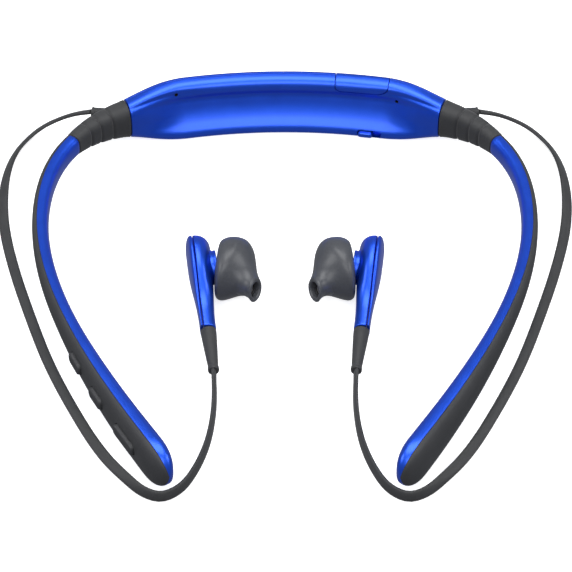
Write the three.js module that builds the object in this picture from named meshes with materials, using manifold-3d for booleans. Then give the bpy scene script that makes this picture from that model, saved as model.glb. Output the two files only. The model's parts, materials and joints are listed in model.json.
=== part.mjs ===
// Neckband earphones lying flat on a table: a rear housing, two flexible sleeves, two slim arms,
// and an earbud on a flat cord from each sleeve. Millimetres, +Z up, the table is z = 0.
// +Y is the back of the neck, -X is the wearer's right. Right and left name the wearer's sides.
import {
  BoxGeometry, BufferAttribute, BufferGeometry, CatmullRomCurve3, Color, CylinderGeometry,
  CubicBezierCurve3, CurvePath, ExtrudeGeometry, Group, LatheGeometry, MathUtils, Matrix4, Mesh,
  MeshStandardMaterial, QuadraticBezierCurve3, Shape, ShapeUtils, Vector2, Vector3,
} from 'three';
import { mergeVertices } from 'three/addons/utils/BufferGeometryUtils.js';
import Module from 'manifold-3d';

// ---------------------------------------------------------------- driving dimensions
const OVERALL_WIDTH = 150;        // across the two arms at their widest
const OVERALL_LENGTH = 167.6;     // from the arm tips to the back of the housing
const HOUSING_HEIGHT = 16.9;
const HOUSING_BACK = 6.8;         // from the band's line to the back face
const HOUSING_LIP = 5.2;          // from the band's line to the front of the lower lip
const HOUSING_HALF = 49;          // along the band, from the middle to the sleeve
const SLEEVE_LENGTH = 20.4;
const BACK_HALF = 46;             // half width of the band's gently curved back
const BACK_DROP = 6.75;           // how far the ends of that curve lie in front of its middle
const WIDEST_FROM_BACK = 53;      // from the line's back to its widest place
const SHOULDER_EASE = [16, 28];   // how far the shoulder's curve holds its direction at each end
const ARM_EASE = [35, 40];        // the same for the arm's curve
const TIP_HALF = 31.6;            // from the middle plane to the end of the line
const TIP_LEAN = MathUtils.degToRad(31);
const WALL = 1.3;                 // housing wall
const ARM_WALL = 1.0;
const SLEEVE_WALL = 1.4;
const GAP = 0.3;                  // between pieces that meet
const PARTING = 0.3;              // line between two shells
const CUT = 1;                    // how far a cutter runs past the face it opens

// arm blade: thickness and height at fractions of its length
const ARM_THICKNESS = [[0, 5.2], [0.25, 4.9], [0.55, 5.3], [0.72, 6.5], [0.9, 7.4], [1, 7.4]];
const ARM_HEIGHT = [[0, 7.0], [0.25, 6.8], [0.55, 9.6], [0.72, 12.6], [0.9, 14.6], [1, 14.6]];
const SLEEVE_REAR = [8.6, 11.8];  // thickness and height where the sleeve meets the housing
const ARM_LEVEL = 8.45;           // height of the blade's centre line
const TIP_LEVEL = 7.6;            // the same near the tip, where the blade is tallest
const TIP_ROUND = 10;             // length of the rounded tip
const TIP_POWER = 2.4;            // 2 is an ellipse, more is blunter
const TIP_LEAST = 0.02;           // keeps the last ring open
const SHELL_END = 2.5;            // the outer shell ends this far before the tip
const TIP_LAP = 0.9;              // the inner cover runs this far into its solid tip
const BLEND_FROM = 0.62;          // the housing's section turns into the sleeve's between these
const BLEND_TO = 1.06;            // shares of the housing's half length
const BLEND_REACH = 0.6;          // the sleeve's taper runs this far back into the housing
const BLADE_POWER = 2.7;          // 2 is an ellipse, more is squarer
const SPLIT = 0.38;               // the shells part at this share of the half thickness

// port cover, on the top ridge of the left half
const PORT_AT = 23.4;
const PORT_LENGTH = 16.2;
const PORT_FRONT = 0.74;          // where the cover starts on the inner side, 0 bottom to 1 top
const PORT_BACK = 0.4;            // where it ends on the outer side, 0 top to 1 bottom
const COVER_THICKNESS = 1.1;
const SOCKET = { length: 7.4, height: 4.2, thickness: 2.2, wall: 0.35, below: 3.6, forward: 0.15 };
const SOCKET_LEAN = MathUtils.degToRad(10);

// the battery fills the room between the shells, from one share of the height to another
const BATTERY = { length: 29, from: 0.25, to: 0.66, at: -17.5, clear: 0.6 };
const BOARD_LEAN = MathUtils.degToRad(21);
const BOARD = { length: 32, height: 4.2, thickness: 0.8, at: 22, under: 1.6 };
const STACK_CLEAR = 0.1;          // between the shield in front of the board and the front shell
const SHIELD = { length: 12, height: 3.2, thickness: 0.9, at: 13 };
const MOTOR = { radius: 1.9, length: 7.6, at: -41.8, level: 7.2 };
const MIC = { length: 2.6, height: 2.0, thickness: 0.8, hole: 0.55, clear: 0.5 };
const MIC_RIGHT = { at: -33.5, side: 0.775 };
const MIC_LEFT = { at: 34.5, side: 0.675 };
const KNOB = {
  length: 4.4, height: 1.7, level: 1.7, at: 25.6, travel: 2.4, proud: 0.9, inside: 0.7, corner: 0.6,
};
const SWITCH = { length: 7, height: 1.2, thickness: 1.5, rise: 0.6 };

// three keys on the right arm: name, place back from the tip, length
const KEY_HEIGHT = 3.6;
const KEY_PROUD = 1.0;
const KEY_CORNER = 1.4;
const KEY_TRAVEL = 0.6;
const KEY_DEPTH = 1.4;            // how far a key reaches below the shell's outer face
const KEYS = [['volume_up', 52.5, 7.4], ['volume_down', 37.5, 7.4], ['play', 19.5, 11.2]];
const TACT = { length: 3, height: 3, thickness: 0.7, clear: 0.1 };
const KEY_BOARD = { height: 4.6, thickness: 0.6, margin: 3.2, clear: 0.2 };
const SPRING = { height: 2.2, thickness: 0.45, inset: 1, short: 22 };
const CORE = { height: 3.6, thickness: 0.8, inset: 1.2 };
const BOOT = { at: 3.2, length: 6.4, radius: 2.0, taper: 0.8, level: 8.2, turn: 36, sunk: 0.4 };

// earbud, in its own axes: x towards the ear gel, y up, z down the stem; placed here for the right
const BUD_AT = new Vector3(-26.4, 2.5, 9.0);
const STEM_DIRECTION = new Vector3(0.12, -0.978, -0.17).normalize();
const HEAD_RADIUS = 8;
const STEM_LENGTH = 25;           // from the middle of the head
const STEM_HALF_WIDTH = 2.75;
const CAP_DEPTH = 2.1;
const CAP_STEM_DEPTH = 0.9;
const BODY_DEPTH = 5.0;
const BODY_STEM_DEPTH = 3.6;
const BUD_WALL = 0.9;
const BUD_LEAST = 0.25;           // least half size of a ring, so that the top stays closed
const BUD_ROUND = 0.8;            // under 1 fills out the bud's sides
const HEAD_RISE = 0.55;           // share of the head's radius over which its depth rises
const STEM_NARROW = 0.8;          // share of the stem over which it narrows
const STEM_THIN = 0.9;            // and over which it gets thinner
const CAP_CLEAR = 0.3;            // the cap's hollow is deeper down the stem by this
const NECK = { radius: 4.8, flare: 5.3, at: 2.6, root: 3, flareFrom: 4.6, rimFrom: 5.9, end: 6.2 };
const NOZZLE = { radius: 2.0, bore: 1.4, length: 11.4, back: 1, tip: new Vector3(16.2, 2.2, 13.8) };
const SCREEN = { clear: 0.15, thickness: 0.3, back: 1.4 };
const GEL_TUBE = { short: 3.6, back: 0.2 };       // the gel's tube round the nozzle
const NOZZLE_TURN = MathUtils.degToRad(33.5);   // from the bud's x towards its stem
const NOZZLE_LIFT = MathUtils.degToRad(16);     // and up
// ear gel: half sizes at its mouth, at its fullest ring and at its tip
const GEL = { mouth: 6.9, wide: 10.0, tall: 9.0, tip: 3.6, wall: 1.1, fullest: 0.3, lift: 0.4 };
const GEL_MOUTH = new Vector2(6.5, 2.7);        // middle of its mouth, x and z
const GEL_BEND = new Vector2(13.4, 3.6);        // where its middle line turns towards the tip
const GEL_MOUTH_TURN = MathUtils.degToRad(14);
const GEL_TWIST = MathUtils.degToRad(14);       // extra turn of the dome halfway
const GEL_NARROW = 2.4;                         // over 2 narrows the dome sooner into a tube
const GEL_RINGS = 9;
const GEL_HOLLOW = 0.6;                         // the hollow behind the dome ends at this share
const RELIEF = { length: 14.4, start: 2.3, end: 1.7, rim: 0.12, out: 1.35 };
const DRIVER = { radius: 4.5, thickness: 2.1, magnet: 2.5, magnetThickness: 0.9 };

// flat cords
const CORD_WIDTH = 3.2;
const CORD_THICKNESS = 1.2;
const CORD_STEP = 6.5;
// the left cord's route, from the sleeve's boot round the arm's tip to the strain relief
const CORD_ROUTE = [
  [59.6, 72.7, 8.2], [64.5, 73.7, 6.5], [70, 74, 4], [75, 72, 2.4], [80, 66, 1.6], [83.5, 57, 1.1],
  [85, 44, 0.9], [84, 28, 0.9], [80, 9, 0.9], [74, -12, 0.9], [67.5, -32, 0.9], [59.5, -51, 0.9],
  [50.5, -69, 0.9], [44, -78, 1], [39, -83.5, 1.4], [34, -85.5, 1.7], [29, -82.5, 1.7],
  [25, -75.5, 1.7], [21.5, -64, 1.7], [20, -50, 1.8], [20.25, -36.5, 2.25],
];

// ---------------------------------------------------------------- materials
const MATERIALS = {
  blue: new MeshStandardMaterial({ color: new Color(0x1f4fd6), roughness: 0.32, metalness: 0.55 }),
  graphite: new MeshStandardMaterial({ color: new Color(0x4b4c50), roughness: 0.6, metalness: 0 }),
  rubber: new MeshStandardMaterial({ color: new Color(0x2a2b2d), roughness: 0.75, metalness: 0 }),
  silicone: new MeshStandardMaterial({ color: new Color(0x4c5058), roughness: 0.45, metalness: 0 }),
  board: new MeshStandardMaterial({ color: new Color(0x14532a), roughness: 0.5, metalness: 0 }),
  steel: new MeshStandardMaterial({ color: new Color(0xb8babd), roughness: 0.3, metalness: 1 }),
  foil: new MeshStandardMaterial({ color: new Color(0xa9acb0), roughness: 0.4, metalness: 0.6 }),
  black: new MeshStandardMaterial({ color: new Color(0x17181a), roughness: 0.5, metalness: 0 }),
};

// ---------------------------------------------------------------- solids
const wasm = await Module();
wasm.setup();
const model = new Group();

function solidOf(geometry) {
  const bare = geometry.clone();
  bare.deleteAttribute('normal');
  bare.deleteAttribute('uv');
  const merged = mergeVertices(bare, 1e-5);
  return new wasm.Manifold(new wasm.Mesh({
    numProp: 3,
    vertProperties: new Float32Array(merged.attributes.position.array),
    triVerts: new Uint32Array(merged.index.array),
  }));
}

function geometryOf(solid) {
  const mesh = solid.getMesh();
  const geometry = new BufferGeometry();
  geometry.setAttribute('position', new BufferAttribute(new Float32Array(mesh.vertProperties), 3));
  geometry.setIndex(new BufferAttribute(new Uint32Array(mesh.triVerts), 1));
  return geometry;
}

function subtract(geometry, ...cutters) {
  const cut = cutters.reduce((solid, cutter) => solid.subtract(solidOf(cutter)), solidOf(geometry));
  return geometryOf(cut);
}

function join(geometry, ...others) {
  const joined = others.reduce((solid, other) => solid.add(solidOf(other)), solidOf(geometry));
  return geometryOf(joined);
}

function addPiece(name, material, geometry) {
  geometry.computeVertexNormals();
  const mesh = new Mesh(geometry, MATERIALS[material]);
  mesh.name = name;
  model.add(mesh);
}

// a copy on the other side of the middle plane, with its faces turned back outwards
function mirrored(geometry) {
  const copy = geometry.clone().applyMatrix4(new Matrix4().makeScale(-1, 1, 1));
  const index = copy.index ? Array.from(copy.index.array) : [...Array(copy.attributes.position.count).keys()];
  for (let i = 0; i < index.length; i += 3) {
    [index[i], index[i + 1]] = [index[i + 1], index[i]];
  }
  copy.setIndex(index);
  return copy;
}

// a closed body through rings of equal length; outlines are the same rings in their own planes
function loft(rings, outlines) {
  const turned = ShapeUtils.isClockWise(outlines[0]);
  const ordered = turned ? rings.map((ring) => [...ring].reverse()) : rings;
  const firstCap = turned ? [...outlines[0]].reverse() : outlines[0];
  const lastCap = turned ? [...outlines.at(-1)].reverse() : outlines.at(-1);
  const count = firstCap.length;
  const points = ordered.flat().flatMap((point) => point.toArray());
  const faces = [];
  for (let k = 0; k + 1 < ordered.length; k += 1) {
    for (let i = 0; i < count; i += 1) {
      const a = k * count + i;
      const b = k * count + ((i + 1) % count);
      faces.push(a, b, b + count, a, b + count, a + count);
    }
  }
  const last = (ordered.length - 1) * count;
  for (const [a, b, c] of ShapeUtils.triangulateShape(firstCap, [])) {
    faces.push(a, c, b);
  }
  for (const [a, b, c] of ShapeUtils.triangulateShape(lastCap, [])) {
    faces.push(last + a, last + b, last + c);
  }
  const geometry = new BufferGeometry();
  geometry.setAttribute('position', new BufferAttribute(new Float32Array(points), 3));
  geometry.setIndex(faces);
  return geometry;
}

function spread(from, to, count) {
  return Array.from({ length: count }, (_, k) => MathUtils.lerp(from, to, k / (count - 1)));
}

// value at x of a list of [place, value] pairs, straight between them
function profile(list, x) {
  const next = list.findIndex(([place]) => place >= x);
  if (next <= 0) {
    return next === 0 ? list[0][1] : list.at(-1)[1];
  }
  const [from, low] = list[next - 1];
  const [to, high] = list[next];
  return MathUtils.lerp(low, high, (x - from) / (to - from));
}

// ---------------------------------------------------------------- the band's line in plan
// Five curves that run into each other: an arm, a shoulder, the back, a shoulder and an arm.
const WIDEST_AT = 0.25;           // the arm's share at its widest place
const lineHalfWidth = OVERALL_WIDTH / 2 - profile(ARM_THICKNESS, WIDEST_AT) / 2;
const lineBack = OVERALL_LENGTH / 2 - HOUSING_BACK;
const lineFront = -OVERALL_LENGTH / 2;
const backEnd = new Vector3(BACK_HALF, lineBack - BACK_DROP, 0);
const backSlope = Math.atan((2 * BACK_DROP) / BACK_HALF);
const widest = new Vector3(lineHalfWidth, lineBack - WIDEST_FROM_BACK, 0);
const lineTip = new Vector3(TIP_HALF, lineFront, 0);

// a point some way from another, at an angle turned from +x towards -y
function towards(from, angle, distance) {
  return from.clone().add(new Vector3(Math.cos(angle), -Math.sin(angle), 0).multiplyScalar(distance));
}

const straightOn = Math.PI / 2;
const shoulder = [
  backEnd, towards(backEnd, backSlope, SHOULDER_EASE[0]),
  towards(widest, straightOn, -SHOULDER_EASE[1]), widest,
];
const arm = [
  widest, towards(widest, straightOn, ARM_EASE[0]),
  towards(lineTip, straightOn + TIP_LEAN, -ARM_EASE[1]), lineTip,
];
const onRight = (points) => points.map((point) => new Vector3(-point.x, point.y, 0)).reverse();
const line = new CurvePath();
line.add(new CubicBezierCurve3(...onRight(arm)));
line.add(new CubicBezierCurve3(...onRight(shoulder)));
line.add(new QuadraticBezierCurve3(onRight([backEnd])[0], new Vector3(0, lineBack + BACK_DROP, 0), backEnd));
line.add(new CubicBezierCurve3(...shoulder));
line.add(new CubicBezierCurve3(...arm));
const halfLine = line.getLength() / 2;

const sleeveStart = HOUSING_HALF + GAP;
const sleeveEnd = sleeveStart + SLEEVE_LENGTH;
const armStart = sleeveEnd + GAP;
const armLength = halfLine - armStart;
const shellEnd = halfLine - SHELL_END;

// place along the band, from the middle: positive on the left half, negative on the right
function stationAt(distance) {
  const u = MathUtils.clamp(0.5 + distance / (2 * halfLine), 0, 1);
  const along = line.getTangent(u);
  return { at: line.getPoint(u), along, out: new Vector3(-along.y, along.x, 0) };
}

function pointAt(distance, out, height) {
  const station = stationAt(distance);
  return station.at.clone().addScaledVector(station.out, out).setZ(height);
}

// axes for a straight piece on the band: x back along the line, y up, z outwards
function frameAt(distance, out, height, lean = 0) {
  const { along, out: outwards } = stationAt(distance);
  const up = new Vector3(0, 0, 1);
  const yAxis = up.clone().multiplyScalar(Math.cos(lean)).addScaledVector(outwards, Math.sin(lean));
  const zAxis = outwards.clone().multiplyScalar(Math.cos(lean)).addScaledVector(up, -Math.sin(lean));
  const frame = new Matrix4().makeBasis(along.clone().negate(), yAxis, zAxis);
  return frame.setPosition(pointAt(distance, out, height));
}

// ---------------------------------------------------------------- sections of the band
// Two open curves make a section: the outer side runs from the top over the back to the bottom,
// the inner side from the bottom over the front to the top. Points are (out, height).
const BACK = HOUSING_BACK;
const LIP = -HOUSING_LIP;
const TALL = HOUSING_HEIGHT;
const flat = (points) => points.map(([x, z]) => new Vector3(x, z, 0));
const curveOf = (points) => new CatmullRomCurve3(flat(points), false, 'centripetal');
const housingSides = {
  outer: curveOf([
    [0.6 * BACK, TALL], [0.73 * BACK, TALL - 0.2], [0.88 * BACK, TALL - 1.2], [BACK, TALL - 3.6],
    [0.94 * BACK, 0.56 * TALL], [0.7 * BACK, 0.27 * TALL], [0.32 * BACK, 0.07 * TALL], [0.02 * BACK, 0],
  ]),
  inner: curveOf([
    [0.02 * BACK, 0], [0.4 * LIP, -0.2], [0.82 * LIP, 0], [LIP, 0.06 * TALL], [0.94 * LIP, 0.16 * TALL],
    [0.56 * LIP, 0.29 * TALL], [0.22 * LIP, 0.44 * TALL], [0, 0.57 * TALL], [-0.12 * LIP, 0.67 * TALL],
    [-0.02 * LIP, 0.8 * TALL], [-0.1 * LIP, 0.9 * TALL], [-0.36 * LIP, TALL - 0.5], [0.6 * BACK, TALL],
  ]),
};

function bladeSize(distance) {
  if (distance < armStart) {
    const share = MathUtils.clamp((distance - HOUSING_HALF) / (armStart - HOUSING_HALF), -BLEND_REACH, 1);
    return {
      half: MathUtils.lerp(SLEEVE_REAR[0], ARM_THICKNESS[0][1], share) / 2,
      tall: MathUtils.lerp(SLEEVE_REAR[1], ARM_HEIGHT[0][1], share) / 2,
      level: ARM_LEVEL,
    };
  }
  const share = (distance - armStart) / armLength;
  const intoTip = Math.max(0, distance - (halfLine - TIP_ROUND)) / TIP_ROUND;
  const round = Math.sqrt(Math.max(TIP_LEAST, 1 - intoTip ** TIP_POWER));
  return {
    half: (profile(ARM_THICKNESS, share) / 2) * round,
    tall: (profile(ARM_HEIGHT, share) / 2) * round,
    level: MathUtils.lerp(ARM_LEVEL, TIP_LEVEL, MathUtils.smoothstep(share, 0.5, 0.88)),
  };
}

// where the two shells part, as an angle from the top
const SPLIT_ANGLE = Math.asin(SPLIT ** (BLADE_POWER / 2));

function bladePoint(side, u, distance, depth) {
  const { half, tall, level } = bladeSize(distance);
  const bottom = Math.PI - SPLIT_ANGLE;
  const angle = side === 'outer'
    ? MathUtils.lerp(SPLIT_ANGLE, bottom, u)
    : MathUtils.lerp(bottom, 2 * Math.PI + SPLIT_ANGLE, u);
  const power = 2 / BLADE_POWER;
  const x = Math.sign(Math.sin(angle)) * Math.abs(Math.sin(angle)) ** power;
  const z = Math.sign(Math.cos(angle)) * Math.abs(Math.cos(angle)) ** power;
  return new Vector2((half - depth) * x, level + (tall - depth) * z);
}

// a point of the housing's outline, cut flat on the table; past either end it runs on round the other side
function onHousing(side, u) {
  const other = side === 'outer' ? 'inner' : 'outer';
  const round = u < 0 || u > 1;
  const { x, y } = housingSides[round ? other : side].getPoint(round ? u - Math.floor(u) : u);
  return new Vector2(x, Math.max(0, y));
}

// the same point moved inwards, at right angles to the outline
function housingPoint(side, u, depth) {
  const step = 0.03;
  const run = onHousing(side, u + step).sub(onHousing(side, u - step)).normalize();
  return onHousing(side, u).add(new Vector2(run.y, -run.x).multiplyScalar(depth));
}

// a point of the section at a place along the band, moved inwards by depth
function sectionPoint(side, u, distance, depth = 0) {
  const far = Math.abs(distance);
  const mix = MathUtils.smoothstep(far, BLEND_FROM * HOUSING_HALF, BLEND_TO * HOUSING_HALF);
  return housingPoint(side, u, depth).lerp(bladePoint(side, u, far, depth), mix);
}

// a wall over stretches of the two sides: [side, from, to, count] each, between two depths
function stripLoft(distances, stretches, shallow, deep) {
  const outlines = [];
  const rings = distances.map((distance) => {
    const places = stretches.flatMap(([side, low, high, points]) => (
      spread(low, high, points).map((u) => [side, u])));
    const face = places.map(([side, u]) => sectionPoint(side, u, distance, shallow));
    const back = places.map(([side, u]) => sectionPoint(side, u, distance, deep)).reverse();
    const outline = [...face, ...back];
    outlines.push(outline);
    return outline.map((point) => pointAt(distance, point.x, point.y));
  });
  return loft(rings, outlines);
}

function shellLoft(distances, side, points, wall) {
  const trim = PARTING / 2 / housingSides.outer.getLength();
  return stripLoft(distances, [[side, trim, 1 - trim, points]], 0, wall);
}

// a solid over the whole section, moved in by depth
function coreLoft(distances, points, depth) {
  const outlines = [];
  const rings = distances.map((distance) => {
    const outline = ['outer', 'inner'].flatMap((side) => (
      spread(0, 1, points).slice(0, -1).map((u) => sectionPoint(side, u, distance, depth))));
    outlines.push(outline);
    return outline.map((point) => pointAt(distance, point.x, point.y));
  });
  return loft(rings, outlines);
}

// a flat strip along the band, standing on edge
function ribbonLoft(distances, size, outAt) {
  const outlines = [];
  const rings = distances.map((distance) => {
    const { level } = bladeSize(Math.abs(distance));
    const out = outAt(Math.abs(distance));
    const outline = [[-1, -1], [1, -1], [1, 1], [-1, 1]].map(([x, z]) => (
      new Vector2(out + (x * size.thickness) / 2, level + (z * size.height) / 2)));
    outlines.push(outline);
    return outline.map((point) => pointAt(distance, point.x, point.y));
  });
  return loft(rings, outlines);
}

// places along the left or the right half, always in the line's own direction
const onSide = (side, distances) => (side > 0 ? distances : distances.map((distance) => -distance).reverse());

function boxAt(size, distance, out, height, lean = 0) {
  const box = new BoxGeometry(size.length, size.height, size.thickness);
  return box.applyMatrix4(frameAt(distance, out, height, lean));
}

function roundedBar(length, height, depth, corner) {
  const shape = new Shape();
  const x = length / 2;
  const y = height / 2;
  shape.moveTo(-x + corner, -y);
  shape.lineTo(x - corner, -y);
  shape.absarc(x - corner, -y + corner, corner, -Math.PI / 2, 0);
  shape.lineTo(x, y - corner);
  shape.absarc(x - corner, y - corner, corner, 0, Math.PI / 2);
  shape.lineTo(-x + corner, y);
  shape.absarc(-x + corner, y - corner, corner, Math.PI / 2, Math.PI);
  shape.lineTo(-x, -y + corner);
  shape.absarc(-x + corner, -y + corner, corner, Math.PI, 1.5 * Math.PI);
  return new ExtrudeGeometry(shape, { depth, bevelEnabled: false, curveSegments: 4 });
}

// ---------------------------------------------------------------- rear housing
const housingPlaces = spread(-HOUSING_HALF, HOUSING_HALF, 21);
const portFrom = PORT_AT - PORT_LENGTH / 2;
const portTo = PORT_AT + PORT_LENGTH / 2;
const gapShare = GAP / housingSides.outer.getLength();
const portStretches = (grow) => [
  ['inner', PORT_FRONT - grow, 0.99, 5], ['outer', 0.02, PORT_BACK + grow, 5],
];

const knobDepth = WALL + KNOB.inside;   // how far the knob reaches behind the lip's face

function micHole(mic) {
  const mouth = sectionPoint('inner', mic.side, mic.at);
  const deep = sectionPoint('inner', mic.side, mic.at, WALL);
  const lean = Math.atan2(deep.y - mouth.y, deep.x - mouth.x);
  const hole = new CylinderGeometry(MIC.hole, MIC.hole, 2 * WALL + 2 * CUT, 10).rotateX(Math.PI / 2);
  return hole.applyMatrix4(frameAt(mic.at, mouth.x, mouth.y, -lean));
}

function addHousing() {
  const opening = spread(portFrom - GAP, portTo + GAP, 7);
  const recess = stripLoft(opening, portStretches(gapShare), -CUT, WALL + CUT / 2);
  const rear = shellLoft(housingPlaces, 'outer', 8, WALL);
  addPiece('rear_housing', 'blue', subtract(rear, recess));

  const slotLength = KNOB.length + KNOB.travel + 2 * GAP;
  const slotDepth = KNOB.proud + knobDepth + CUT + GAP;
  const slotOut = LIP + (knobDepth + GAP - KNOB.proud - CUT) / 2;
  const slot = new BoxGeometry(slotLength, KNOB.height + 2 * GAP, slotDepth)
    .applyMatrix4(frameAt(KNOB.at + KNOB.travel / 2, slotOut, KNOB.level));
  const front = shellLoft(housingPlaces, 'inner', 12, WALL);
  addPiece('front_housing', 'blue', subtract(front, recess, slot, micHole(MIC_RIGHT), micHole(MIC_LEFT)));
  addPiece('port_cover', 'blue', stripLoft(spread(portFrom, portTo, 7), portStretches(0), 0, COVER_THICKNESS));
}

// the room between the two shells at a level: where it starts and ends, and its middle
function roomAt(distance, level) {
  const [front, back] = ['inner', 'outer'].map((side) => {
    const face = spread(0.15, 0.92, 80).map((u) => sectionPoint(side, u, distance, WALL));
    const miss = (point) => Math.abs(point.y - level);
    return face.reduce((best, point) => (miss(point) < miss(best) ? point : best)).x;
  });
  return { front, depth: back - front, middle: (front + back) / 2 };
}

function addSocket() {
  const { length, height, thickness, wall, below, forward } = SOCKET;
  const level = TALL - below - (height / 2) * Math.cos(SOCKET_LEAN);
  const out = roomAt(PORT_AT, level).middle - forward;
  const shell = boxAt({ length, height, thickness }, PORT_AT, out, level, SOCKET_LEAN);
  const mouth = { length: length - 2 * wall, height, thickness: thickness - 2 * wall };
  const rise = 2 * wall;
  const mouthOut = out + rise * Math.sin(SOCKET_LEAN);
  const hollow = boxAt(mouth, PORT_AT, mouthOut, level + rise * Math.cos(SOCKET_LEAN), SOCKET_LEAN);
  addPiece('charging_socket', 'steel', subtract(shell, hollow));
}

function addBattery() {
  const low = BATTERY.from * TALL;
  const high = BATTERY.to * TALL;
  const bottom = roomAt(BATTERY.at, low);
  const top = roomAt(BATTERY.at, high);
  const lean = Math.atan2(top.middle - bottom.middle, high - low);
  const thickness = Math.min(bottom.depth, top.depth) * Math.cos(lean) - 2 * BATTERY.clear;
  const size = { length: BATTERY.length, height: high - low, thickness };
  const out = (bottom.middle + top.middle) / 2;
  addPiece('battery', 'foil', boxAt(size, BATTERY.at, out, (low + high) / 2, lean));
}

function addElectronics() {
  const boardLevel = WALL + BOARD.under + (BOARD.height / 2) * Math.cos(BOARD_LEAN);
  const shieldRise = (SHIELD.height / 2) * Math.cos(BOARD_LEAN);
  const shieldOut = roomAt(BOARD.at, boardLevel + shieldRise).front + STACK_CLEAR
    + SHIELD.thickness / 2 - (SHIELD.height / 2) * Math.sin(BOARD_LEAN);
  const boardOut = shieldOut + SHIELD.thickness / 2 + GAP + BOARD.thickness / 2;
  addPiece('main_board', 'board', boxAt(BOARD, BOARD.at, boardOut, boardLevel, BOARD_LEAN));
  addPiece('radio_shield', 'steel', boxAt(SHIELD, SHIELD.at, shieldOut, boardLevel, BOARD_LEAN));
  const motor = new CylinderGeometry(MOTOR.radius, MOTOR.radius, MOTOR.length, 16).rotateZ(Math.PI / 2);
  const motorOut = roomAt(MOTOR.at, MOTOR.level).middle;
  addPiece('vibration_motor', 'steel', motor.applyMatrix4(frameAt(MOTOR.at, motorOut, MOTOR.level)));
  for (const [name, mic] of [['microphone_right', MIC_RIGHT], ['microphone_left', MIC_LEFT]]) {
    const depth = WALL + MIC.clear + MIC.thickness / 2;
    const seat = sectionPoint('inner', mic.side, mic.at, depth);
    const mouth = sectionPoint('inner', mic.side, mic.at);
    const lean = -Math.atan2(seat.y - mouth.y, seat.x - mouth.x);
    addPiece(name, 'steel', boxAt(MIC, mic.at, seat.x, seat.y, lean));
  }
}

function addPowerSwitch() {
  const { length, height, level, at, proud, corner } = KNOB;
  const knob = roundedBar(length, height, proud + knobDepth, corner).translate(0, 0, -proud);
  addPiece('power_switch', 'blue', knob.applyMatrix4(frameAt(at, LIP, level)));
  const bodyOut = LIP + knobDepth + GAP + SWITCH.thickness / 2;
  addPiece('switch_body', 'black', boxAt(SWITCH, at + KNOB.travel / 2, bodyOut, level + SWITCH.rise));
}

// ---------------------------------------------------------------- sleeves and arms
function bootFrame(side) {
  const at = sleeveStart + BOOT.at;
  const { half } = bladeSize(at);
  const root = pointAt(side * at, half - BOOT.sunk, BOOT.level);
  const { along, out } = stationAt(side * at);
  const turn = MathUtils.degToRad(BOOT.turn);
  const away = along.clone().multiplyScalar(side * Math.cos(turn)).addScaledVector(out, Math.sin(turn));
  const up = new Vector3(0, 0, 1);
  return new Matrix4().makeBasis(new Vector3().crossVectors(away, up), away, up).setPosition(root);
}

function addSleeve(name, side) {
  const places = spread(sleeveStart, sleeveEnd, 8);
  const past = [sleeveStart - CUT, ...places.slice(1, -1), sleeveEnd + CUT];
  const bore = coreLoft(onSide(side, past), 8, SLEEVE_WALL);
  addPiece(`${name}_flex_sleeve`, 'rubber', subtract(coreLoft(onSide(side, places), 8, 0), bore));
  const corePlaces = onSide(side, spread(sleeveStart + CORE.inset, sleeveEnd - CORE.inset, 8));
  addPiece(`${name}_flex_core`, 'steel', ribbonLoft(corePlaces, CORE, () => 0));

  const boot = new CylinderGeometry(BOOT.radius * BOOT.taper, BOOT.radius, BOOT.length, 14)
    .translate(0, BOOT.length / 2, 0).applyMatrix4(bootFrame(side));
  const hug = coreLoft(onSide(side, past), 8, -GAP);
  addPiece(`${name}_cord_boot`, 'rubber', subtract(boot, hug));
}

// where a key and what lies under it sit, at a place back from the tip
function keyStack(place) {
  const { half, level } = bladeSize(halfLine - place);
  const tactOut = half - KEY_DEPTH - KEY_TRAVEL - TACT.clear - TACT.thickness / 2;
  const boardOut = tactOut - TACT.thickness / 2 - KEY_BOARD.clear - KEY_BOARD.thickness / 2;
  return { half, level, tactOut, boardOut };
}

function addArm(name, side, windows) {
  const roundFrom = halfLine - TIP_ROUND;
  const places = [...spread(armStart, roundFrom, 20), ...spread(roundFrom, shellEnd, 5).slice(1)];
  const outer = shellLoft(onSide(side, places), 'outer', 7, ARM_WALL);
  addPiece(`${name}_arm_outer_shell`, 'graphite', windows.length ? subtract(outer, ...windows) : outer);

  const cover = shellLoft(onSide(side, [...places, shellEnd + TIP_LAP]), 'inner', 8, ARM_WALL);
  const tip = coreLoft(onSide(side, spread(shellEnd + GAP, halfLine, 7)), 8, 0);
  addPiece(`${name}_arm_inner_cover`, 'blue', join(cover, tip));

  const springPlaces = onSide(side, spread(armStart + SPRING.inset, shellEnd - SPRING.short, 18));
  const springOut = (distance) => -(bladeSize(distance).half - ARM_WALL - GAP - SPRING.thickness / 2);
  addPiece(`${name}_arm_spring`, 'steel', ribbonLoft(springPlaces, SPRING, springOut));
}

function addKeys() {
  for (const [name, place, length] of KEYS) {
    const { half, level, tactOut } = keyStack(place);
    const distance = place - halfLine;
    const key = roundedBar(length, KEY_HEIGHT, KEY_PROUD + KEY_DEPTH, KEY_CORNER).translate(0, 0, -KEY_DEPTH);
    addPiece(`${name}_key`, 'graphite', key.applyMatrix4(frameAt(distance, half, level)));
    addPiece(`${name}_tact`, 'steel', boxAt(TACT, distance, tactOut, level));
  }
  const first = halfLine - KEYS[0][1] - KEY_BOARD.margin;
  const last = halfLine - KEYS.at(-1)[1] + KEY_BOARD.margin;
  const boardOut = (distance) => keyStack(halfLine - distance).boardOut;
  const places = onSide(-1, spread(first, last, 7));
  addPiece('key_board', 'board', ribbonLoft(places, KEY_BOARD, boardOut));
}

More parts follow.
